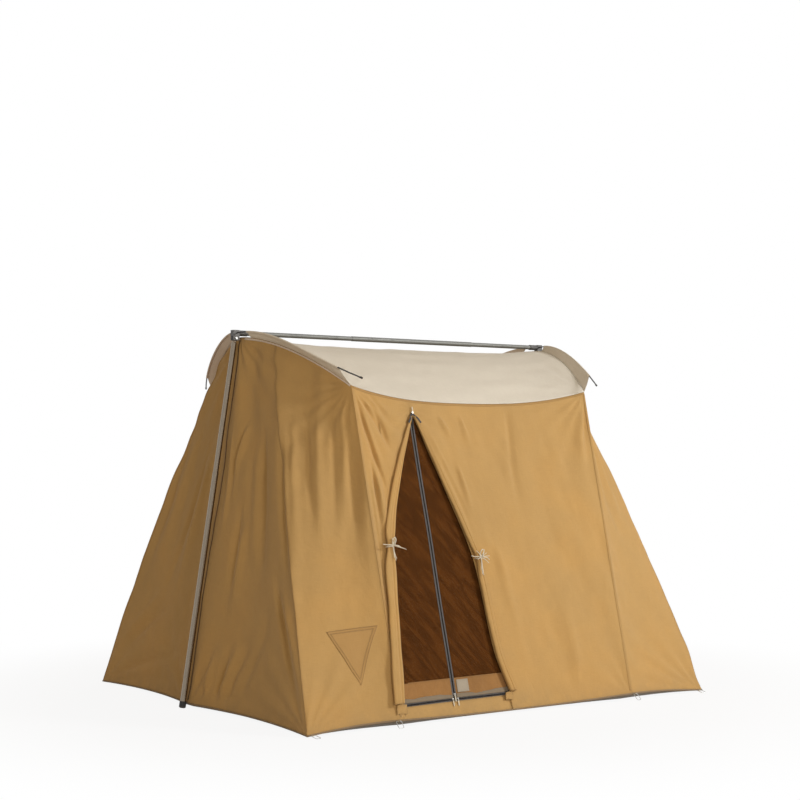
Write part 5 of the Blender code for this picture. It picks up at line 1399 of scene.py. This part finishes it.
def make_seams():
    h = np.linspace(0.012, 0.992, 170)
    one, near_one = np.ones_like(h), np.full_like(h, 0.98)
    share = np.linspace(0.05, 0.99, 90)
    s = np.where(share < CREASE_SHARE, share / CREASE_SHARE, 1 + (share - CREASE_SHARE) / (1 - CREASE_SHARE))
    u = np.linspace(-0.99, 0.99, 190)
    dark, pale = [], []
    for way, end in WAYS:
        middle = ENDS[way]["end_wall"]
        for row, side in ROWS:
            flip = np.array([end, side, 1])
            wall = FRONT if side < 0 else REAR
            both = [middle, ENDS[way][f"gusset_{row}"]]
            line, across = beside(side_wall, (one, h), (near_one, h), flip)
            dark += seam(f"corner_seam_{way}_{row}", line, across, [wall], marks=(0.0, 0.004, 0.008, 0.0115))
            line, across = beside(end_panel, (one, h), (near_one, h), flip)
            dark += seam(f"gusset_seam_{way}_{row}", line, across, both)
            line, across = beside(end_panel, (s, np.full_like(s, 0.9985)), (s, np.full_like(s, 0.985)), flip)
            marks = (0.0, 0.0035, 0.0075, 0.011)
            # The arch seams take the sleeve cloth: the roof's cream with painted shade.
            pale += seam(f"arch_seam_{way}_{row}", line, across, both, "sleeve", marks, (0.0088,))
        # A seam strip down the middle of the end wall, just behind the upright, painted dark as the upright's
        # shadow.
        line = end_panel(np.zeros_like(h), h) * [end, 1, 1] - [0, 0.006, 0]
        across = np.broadcast_to([0.0, 1.0, 0.0], line.shape)
        marks = (0.0, 0.004, 0.008, 0.012)
        dark += seam(f"pole_shadow_seam_{way}", line, across, [middle], "pole_painted_shadow", marks, (0.0015, 0.0105))
    for (row, side), wall in zip(ROWS, (FRONT, REAR)):
        at, inner = (u, np.full_like(u, 0.9985)), (u, np.full_like(u, 0.985))
        line, across = beside(side_wall, at, inner, np.array([1, side, 1]))
        dark += seam(f"eave_seam_{row}", line, across, [wall], "patch", (0.0, 0.0035, 0.007, 0.0105), (0.0085,))
    stitched("seam_stitches", dark)
    stitched("arch_stitches", pale, look="pale_thread")
    tree = search_tree(FRONT)
    rows = []
    for side in (-1, 1):
        z = np.linspace(0.12, DOOR_TOP + 0.005, 150)
        x = np.array([flap_axis(side, v) + side * (flap_half(side, v) + 0.014) for v in z])
        inside = np.abs(wall_coords(x, z)[0]) < 0.97
        place = on_front(x[inside], z[inside])
        rows.append(laid_on(tree, place, np.broadcast_to(DOOR_NORMAL, place.shape), 0.0002))
    stitched("door_stitches", rows)


def hem_loop(h):
    """The places round the foot of the canvas, at a share of its height."""
    quarter = [side_wall(u, h) for u in np.linspace(0.0, 1.0, 30)]
    quarter += [end_panel(s, h) for s in np.linspace(2.0, 1.0, 22)[1:]]
    quarter += [end_panel(s, h) for s in np.linspace(1.0, 0.0, 42)[1:]]
    return all_round([np.asarray(p).reshape(3) for p in quarter])


# The folded binding's outline, by how far it lies out from the canvas and up
HEM_SECTION = (
    (0.0026, 0.0075), (0.0023, 0.0040), (0.0020, 0.0000), (-0.0002, -0.0016), (-0.0034, 0.0000), (-0.0040, 0.0065),
    (-0.0033, 0.0065), (-0.0026, 0.0004), (-0.0002, -0.0008), (0.0013, 0.0004), (0.0016, 0.0040), (0.0019, 0.0075),
)


def make_hem():
    """The binding tape folded round the foot of the canvas."""
    foot, above = hem_loop(np.array(0.0)), hem_loop(np.array(0.02))
    rise = unit(above - foot)
    ways = unit(np.abs(outward(np.abs(foot))) * np.sign(foot + 1e-9) * [1, 1, 0])
    points = np.stack([foot + ways * out + rise * up for out, up in HEM_SECTION], axis=1).reshape(-1, 3)
    sides, count = len(HEM_SECTION), len(foot)
    lengths = np.concatenate([[0.0], np.cumsum(np.linalg.norm(np.diff(foot, axis=0), axis=1))])
    uvs = np.stack([np.repeat(lengths, sides), np.tile(np.arange(sides) * 0.003, count)], axis=-1)
    faces = []
    for k in range(count):
        here, after = k * sides, (k + 1) % count * sides
        for i in range(sides):
            j = (i + 1) % sides
            faces.append((here + i, here + j, after + j, after + i))
    hem = reworked(mesh_object("hem_tape", points, faces, uvs), turn_solid_out)
    body_piece(hem, "tent", "binding")
    declare(hem, "", (0.018, round(float(lengths[-1]), 2)), "floor_sheet")
    line, ways = (np.concatenate([row, row[:1]]) for row in (foot + rise * 0.0058, ways))
    stitched("hem_stitches", [laid_on(search_tree(hem), line, ways, 0.0001, 0.008)], look="pale_thread")


# Stake tabs, patch and tab ends


def strap_path():
    """The folded strap's centre line, along its way out and up, round the wire at the middle."""
    bend = RING_WIRE + RING_CLEAR / 4 + 0.0005
    root = -TAB_EYE - TAB_ROOT
    upper = [(root, 0.0006), (root * 0.7, 0.0007), (-0.0065, 0.0009), (-0.0042, 0.0014)]
    turn = [(bend * math.cos(a), bend * math.sin(a)) for a in np.radians(np.linspace(130, -130, 15))]
    return upper + turn + [(x, -z) for x, z in reversed(upper)]


def make_stake_tabs():
    span = BASE_HALF_LENGTH - SEAM_FOOT_HALF
    spots = (("corner", CORNER_TAB_INSET / span), ("seam", 1 - SEAM_TAB_INSET / span))
    rows = []
    for (row, side), (way, end), (spot_name, w) in product(ROWS, WAYS, spots):
        flip = [end, side, 1]
        hem, low, high = (gusset_hem(np.array(w + step)) for step in (0.0, -0.01, 0.01))
        along = high - low
        out = unit(np.array([along[1], -along[0], 0.0])) * flip
        eye = hem * flip + out * TAB_EYE
        eye[2] = hem[2] + WEBBING / 2 - 0.0002
        across = np.cross([0.0, 0.0, 1.0], out)

        def on_tab(c, path, rise=0.0):
            return [eye + out * a + np.array([0, 0, rise + b]) + across * (c * TAB_WIDTH) for a, b in path]

        grid = np.array([on_tab(c * 0.97, strap_path()) for c in np.linspace(-0.5, 0.5, 7)])
        tab = cloth_piece(f"stake_tab_{row}_{way}_{spot_name}", [grid], "webbing", ROLLED, offset=0.0)
        declare(tab, "", (0.014, 0.042), f"gusset_{row}_{way}")
        rows += [on_tab(c, ((-0.0150, 0.0), (-0.0070, 0.0004)), 0.0012) for c in (-0.34, 0.34)]
    stitched("tab_stitches", rows, look="pale_thread", pitch=0.0030, stitch=0.0022, thread=0.0006)


PATCH_CORNERS = ((-1.090, 0.467), (-0.813, 0.486), (-0.947, 0.204))


def inset(corners, margin):
    """The same triangle, drawn in by a margin on all sides."""
    a, b, c = (np.array(p) for p in corners)
    la, lb, lc = np.linalg.norm(b - c), np.linalg.norm(a - c), np.linalg.norm(a - b)
    centre = (a * la + b * lb + c * lc) / (la + lb + lc)
    area = 0.5 * abs((b - a)[0] * (c - a)[1] - (b - a)[1] * (c - a)[0])
    share = 1 - margin / (2 * area / (la + lb + lc))
    return [centre + (p - centre) * share for p in (a, b, c)]


def seen_from_front(tree, flat, rise):
    """Places on the cloth behind each x and z, lifted off it."""
    off = Vector((-0.35, -0.9, 0.25)).normalized() * rise
    hits = [tree.ray_cast(Vector((x, -2.0, z)), Vector((0, 1, 0)), 3.0)[0] + off for x, z in flat.reshape(-1, 2)]
    return np.array(hits).reshape(*flat.shape[:-1], 3)


def make_patch():
    """The blank three-cornered patch on the gusset by the door."""
    tree = search_tree(ENDS["left"]["gusset_front"], ENDS["left"]["end_wall"])
    a, b, c = (np.array(p) for p in PATCH_CORNERS)
    down = np.linspace(0.0, 0.985, 40)[:, None, None]
    left, right = a + (c - a) * down, b + (c - b) * down
    flat = left + (right - left) * np.linspace(0.0, 1.0, 36)[None, :, None]
    patch = cloth_piece("corner_patch", [seen_from_front(tree, flat, 0.0014)], "patch", TAPE)
    declare(patch, "", (0.30, 0.31), "gusset_front_canvas_left", 0.045)
    rows = []
    for margin in (0.003, 0.013, 0.016):
        ring = inset(PATCH_CORNERS, margin)
        line = []
        for p, q in zip(ring, ring[1:] + ring[:1]):
            line += [p + (q - p) * t for t in np.linspace(0, 1, 30, endpoint=False)]
        rows.append(seen_from_front(tree, np.array(line + [ring[0]]), 0.0017))
    stitched("patch_stitches", rows, look="dark_thread", pitch=0.0042, stitch=0.0036, thread=0.0014)


# The turned-down ends of the flaps: left and right, foot and top, and how far they stand out
FLAP_ENDS = (("left", -0.782, -0.716, 0.060, 0.104, 0.011), ("right", -0.074, -0.026, 0.066, 0.102, 0.009))


def make_tab_ends():
    """The stitched ends of the two door flaps, turned down over their feet."""
    rows = []
    for way, left, right, low, high, proud in FLAP_ENDS:
        x, z = over_panel(left, right, 22, 16, low, high)
        c, r = (x - left) / (right - left), (z - low) / (high - low)
        x, z = x + 0.004 * (r - 0.5) * np.cos(math.pi * c), z + 0.002 * np.sin(5 * c)
        belly = 0.35 + 0.65 * np.sin(math.pi * np.clip(c, 0.05, 0.95))
        rise = 0.003 + proud * r**1.5 * belly + 0.0008 * ripple(x, z, 0.012, 5)
        grid = on_front(x, z) + lift(rise) * DOOR_NORMAL
        tab = cloth_piece(f"flap_end_{way}", [grid])
        declare(tab, "", (right - left, high - low), f"flap_cloth_{way}")
        border = [grid[1, 1:-1], grid[1:-1, 1], grid[1:-1, -2], grid[-3, 1:-1]]
        rows += [row + DOOR_NORMAL * 0.0003 for row in border]
    stitched("flap_end_stitches", rows, pitch=0.0042, stitch=0.0032, thread=0.0009)


# Zips, the kick bands' trim and the zip at the door's head


def plate(name, half_outline, thick, place, right, up, look):
    """A small flat piece with rounded edges, from the right half of its outline, foot first."""
    right, up = Vector(right).normalized(), Vector(up).normalized()
    out = right.cross(up)
    outline = [(-half_outline[0][0], half_outline[0][1]), *half_outline]
    outline += [(-a, b) for a, b in reversed(half_outline[1:])]
    bm = bmesh.new()
    ring = [bm.verts.new(Vector(place) + right * a + up * b - out * (thick / 2)) for a, b in outline]
    made = bmesh.ops.extrude_face_region(bm, geom=[bm.faces.new(ring)])
    moved = [v for v in made["geom"] if isinstance(v, bmesh.types.BMVert)]
    bmesh.ops.translate(bm, verts=moved, vec=out * thick)
    bmesh.ops.bevel(bm, geom=list(bm.edges), offset=0.0004, segments=2, affect="EDGES", profile=0.6)
    turn_alike(bm)
    mesh = bpy.data.meshes.new(name)
    bm.to_mesh(mesh)
    bm.free()
    return body_piece(linked(name, mesh), "tent", look)


def make_coils():
    z = np.linspace(SCREEN_FOOT + 0.003, DOOR_TOP - 0.004, 140)
    for way, side in WAYS:
        body = f"screen_half_{way}"
        coil, *rows = [
            on_door(DOOR_X + side * at + zip_wave(z), z, out)
            for at, out in ((0.0021, 0.0016), (0.0066, 0.0011), (0.0112, 0.0011))
        ]
        coiled(f"zip_coil_{way}", [coil], 0.0040, 0.0014, (1.0, 0.0, 0.0), body)
        stitched(f"zip_stitches_{way}", rows, body, "coil", 0.0032, 0.0024, 0.0006)
    x = np.linspace(screen_side(-1, SILL_TOP) + 0.012, screen_side(1, SILL_TOP) - 0.012, 80)
    middle = SILL_TOP + BOTTOM_ZIP / 2 + 0.0010 * np.sin(11.0 * x)
    rows = [on_door(x, middle + up, 0.0016) for up in (-0.0021, 0.0021)]
    coiled("zip_coil_bottom", rows, 0.0040, 0.0014, (0.0, 0.0, 1.0))


def make_kick_trim():
    for way, side, width in (("left", -1, 0.29), ("right", 1, 0.385)):
        body = f"screen_half_{way}"
        c = np.linspace(0.0, 1.0, 60)[None, :]
        top = SCREEN_FOOT + 0.018 + 0.007 * ripple(c * 0.4, c * 0 + side, 0.05, 92)
        z = SCREEN_FOOT + 0.0006 + (top - SCREEN_FOOT) * np.linspace(0.0, 1.0, 6)[:, None]
        near = DOOR_X + side * 0.0125
        x = near + (screen_side(side, z) - near) * c
        grid = on_door(x, z, 0.0030 + 0.0006 * ripple(x, z, 0.02, 90))
        strip = cloth_piece(f"kick_strip_{way}", [grid], "grey_dark", TAPE, body)
        declare(strip, "", (width, 0.020), f"kick_band_{way}")
        top = SCREEN_FOOT + KICK_HEIGHT - 0.004
        line = np.linspace(near + side * 0.004, screen_side(side, top) - side * 0.004, 50)
        stitched(f"kick_stitches_{way}", [on_door(line, np.full_like(line, top), 0.0022)], body)
    x, z = over_panel(-0.376, -0.300, 16, 14, 0.128, 0.190)
    x = x + 0.004 * np.sin(9 * z)
    grid = on_door(x, z, 0.0034 + 0.0006 * ripple(x, z, 0.02, 95))
    patch = cloth_piece("kick_patch", [grid], "grey", STRIP, "screen_half_right")
    declare(patch, "", (0.076, 0.062), "kick_band_right")


# The right halves of the outlines of the slider above the door, its bridge and its pull
SLIDER_HALF = ((0.0036, -0.007), (0.0048, -0.001), (0.0052, 0.005), (0.0030, 0.007))
BRIDGE_HALF = ((0.0012, -0.005), (0.0016, 0.0), (0.0012, 0.006))
PULL_HALF = ((0.0026, 0.0), (0.0034, 0.006), (0.0036, 0.020), (0.0028, 0.026))


def make_door_head():
    """The two halves of the outer zip where they part above the door, with their slider."""
    t = np.linspace(0.0, 1.0, 26)
    for way, side in WAYS:
        line = on_front(HEAD[0] + side * (0.002 + HEAD_SPREAD * t), HEAD[1] - HEAD_FALL * t)
        line = line + lift(0.0032 + 0.0125 * eased_in(t * 1.6)) * DOOR_NORMAL
        across = unit(np.cross(unit(np.gradient(line, axis=0)), DOOR_NORMAL))
        grid = np.stack([line + across * a - DOOR_NORMAL * 0.0008 for a in (-0.0055, 0.0, 0.0055)], axis=1)
        tape = cloth_piece(f"head_tape_{way}", [grid], "tape", TAPE)
        declare(tape, "", (0.011, 0.067), "front_canvas")
        coiled(f"head_coil_{way}", [line], 0.0026, 0.0016, across.mean(axis=0))
    place = on_front(np.array(HEAD[0]), np.array(HEAD[1] + 0.004)) + DOOR_NORMAL * 0.0060
    right, up = np.array([1.0, 0.0, 0.0]), unit(np.cross(DOOR_NORMAL, [1.0, 0.0, 0.0]))
    up = up if up[2] > 0 else -up
    above, ahead = place + DOOR_NORMAL * 0.0032, place + DOOR_NORMAL * 0.0040 + up * 0.004
    plate("head_slider", SLIDER_HALF, 0.0044, place, right, up, "zip_metal")
    plate("head_bridge", BRIDGE_HALF, 0.0024, above, right, up, "zip_metal")
    plate("head_pull", PULL_HALF, 0.0016, ahead, right + up * 0.10, up, "pull")


# Knots and frayed ends of the ties


def bundle(name, strands):
    """Strands of cord as one mesh. Each has its path and its radius at both ends."""
    points, faces = [], []
    for path, first, last in strands:
        route = smooth_path([Vector(p) for p in path], CORD_LUMPS)
        count = len(route)

        def section(k, n, b):
            radius = (first + (last - first) * k / (count - 1)) * (1 + 0.12 * math.sin(2.2 * k))
            turns = np.linspace(0, 2 * math.pi, 7)[:-1]
            return [n * (radius * math.cos(a)) + b * (radius * math.sin(a)) for a in turns]

        more, sides = swept(route, section)
        faces += [tuple(len(points) + i for i in face) for face in sides]
        points += more
    return body_piece(reworked(mesh_object(name, points, faces), turn_alike), "tent", "cord")


def knot_strands(side, height, arms, tails):
    """A knot's arms that stand out and tails that hang, by their reach across, up and out, and its own turns."""
    axis = flap_axis(side, height)
    rest = flap_lift(height, height) + flap_thick(height) * TIED_THICK

    def place(x, z, out):
        return on_front(np.array(axis + x), np.array(height + z)) + DOOR_NORMAL * (rest + out)

    strands = []
    for x, z, out in arms:
        bend = [(t, 0.010 + out * math.sin(math.pi * 0.6 * t)) for t in (0.0, 0.3, 0.65, 1.0)]
        strands.append(([place(x * t, z * t - 0.004 * t * t, proud) for t, proud in bend], *ARM_RADII))
    for x, z, out in tails:
        path = [place(x * t * t, z * t, 0.011 - out * t) for t in (0.0, 0.25, 0.5, 0.75, 1.0)]
        strands.append((path, *TAIL_RADII))
    for k in range(3):
        ring = []
        for a in np.linspace(0.3 * k, 0.3 * k + 2 * math.pi, 12):
            x, z = 0.0065 * math.cos(a) + 0.002 * (k - 1), 0.0060 * math.sin(a + 0.9 * k)
            ring.append(place(x, z, 0.011 + 0.0035 * math.sin(a + k)))
        strands.append((ring, *TURN_RADII))
    return strands


# Each tie: its height, and the reach of its knot's arms and tails, across, up and out
TIES = {
    "left": (
        LEFT_TIE_HEIGHT,
        ((-0.072, 0.010, 0.008), (0.080, -0.020, 0.006), (-0.010, 0.040, 0.012), (0.016, 0.044, 0.010)),
        ((0.002, -0.060, 0.006), (0.010, -0.074, 0.006), (0.016, -0.064, 0.006), (0.006, -0.050, 0.004)),
    ),
    "right": (
        RIGHT_TIE_HEIGHT,
        ((-0.034, 0.036, 0.012), (0.022, 0.040, 0.012), (0.050, 0.006, 0.010), (0.038, -0.030, 0.010),
         (-0.032, -0.010, 0.008), (0.030, 0.022, 0.014)),
        ((-0.004, -0.086, 0.006), (0.003, -0.092, 0.006), (0.000, -0.078, 0.004), (-0.008, -0.062, 0.004)),
    ),
}


def make_ties():
    for way, side in WAYS:
        height, arms, tails = TIES[way]
        make_tie(way, side, height, bundle(f"tie_knot_{way}", knot_strands(side, height, arms, tails)))


make_seams()
make_hem()
make_stake_tabs()
make_patch()
make_tab_ends()
make_coils()
make_kick_trim()
make_door_head()
make_ties()


# Studio

WHITE = (1.0, 1.0, 1.0, 1.0)
# Each lamp: its place, size, power and colour
LAMPS = {
    "key": ((4.2, -6.7, 4.2), 1.5, 320.0, (1.0, 0.985, 0.96)),
    "fill": ((-3.0, -8.2, 2.4), 1.5, 125.0, (1.0, 0.93, 0.84)),
    "back": ((5.4, 7.0, 4.6), 4.0, 150.0, (1.0, 0.96, 0.90)),
}


def seen_white(tree):
    """1 for rays from the camera and for rays in a mirror or through glass, 0 for the rest."""
    path = tree.node("ShaderNodeLightPath")
    return path.most(path.output("Is Glossy Ray")).most(path.output("Is Transmission Ray"))


def make_studio():
    mat, tree = new_material("studio_floor")
    far = tree.vector("LENGTH", tree.place(), None, out=1).between(1.6, 3.4)
    matt = tree.node("ShaderNodeBsdfDiffuse", {}, {"Color": (0.80, 0.80, 0.80, 1.0)})
    white = tree.node("ShaderNodeEmission", {}, {"Color": WHITE, "Strength": 1.0})
    share = seen_white(tree) * (0.90 + far * 0.10)
    tree.end("ShaderNodeOutputMaterial", tree.node("ShaderNodeMixShader", {}, {0: share, 1: matt, 2: white}))
    floor = mesh_object("studio_floor", [(-30, -30, 0), (30, -30, 0), (30, 30, 0), (-30, 30, 0)], [(0, 1, 2, 3)])
    floor.location.z = -0.0005
    floor.data.materials.append(mat)

    world = bpy.data.worlds.new("studio")
    bpy.context.scene.world = world
    world.use_nodes = True
    world.node_tree.nodes.clear()
    sky = Tree(world.node_tree)
    facing = sky.vector("DOT_PRODUCT", sky.node("ShaderNodeTexCoord"), (-0.35, -0.86, 0.37), out=1)
    glow = sky.mix((0.215, 0.148, 0.070), (0.395, 0.328, 0.244), facing.between(-0.7, 0.7))
    dim, white = (sky.node("ShaderNodeBackground", {}, {"Color": c, "Strength": 1.0}) for c in (glow, WHITE))
    sky.end("ShaderNodeOutputWorld", sky.node("ShaderNodeMixShader", {}, {0: seen_white(sky), 1: dim, 2: white}))

    for name, (place, size, power, colour) in LAMPS.items():
        data = bpy.data.lights.new(name, "AREA")
        data.size = size
        data.energy = power
        data.color = colour
        lamp = linked(name, data)
        lamp.location = place
        lamp.rotation_euler = (Vector((0.0, 0.0, 0.9)) - Vector(place)).to_track_quat("-Z", "Y").to_euler()


make_studio()
bpy.context.scene.view_settings.view_transform = "Standard"
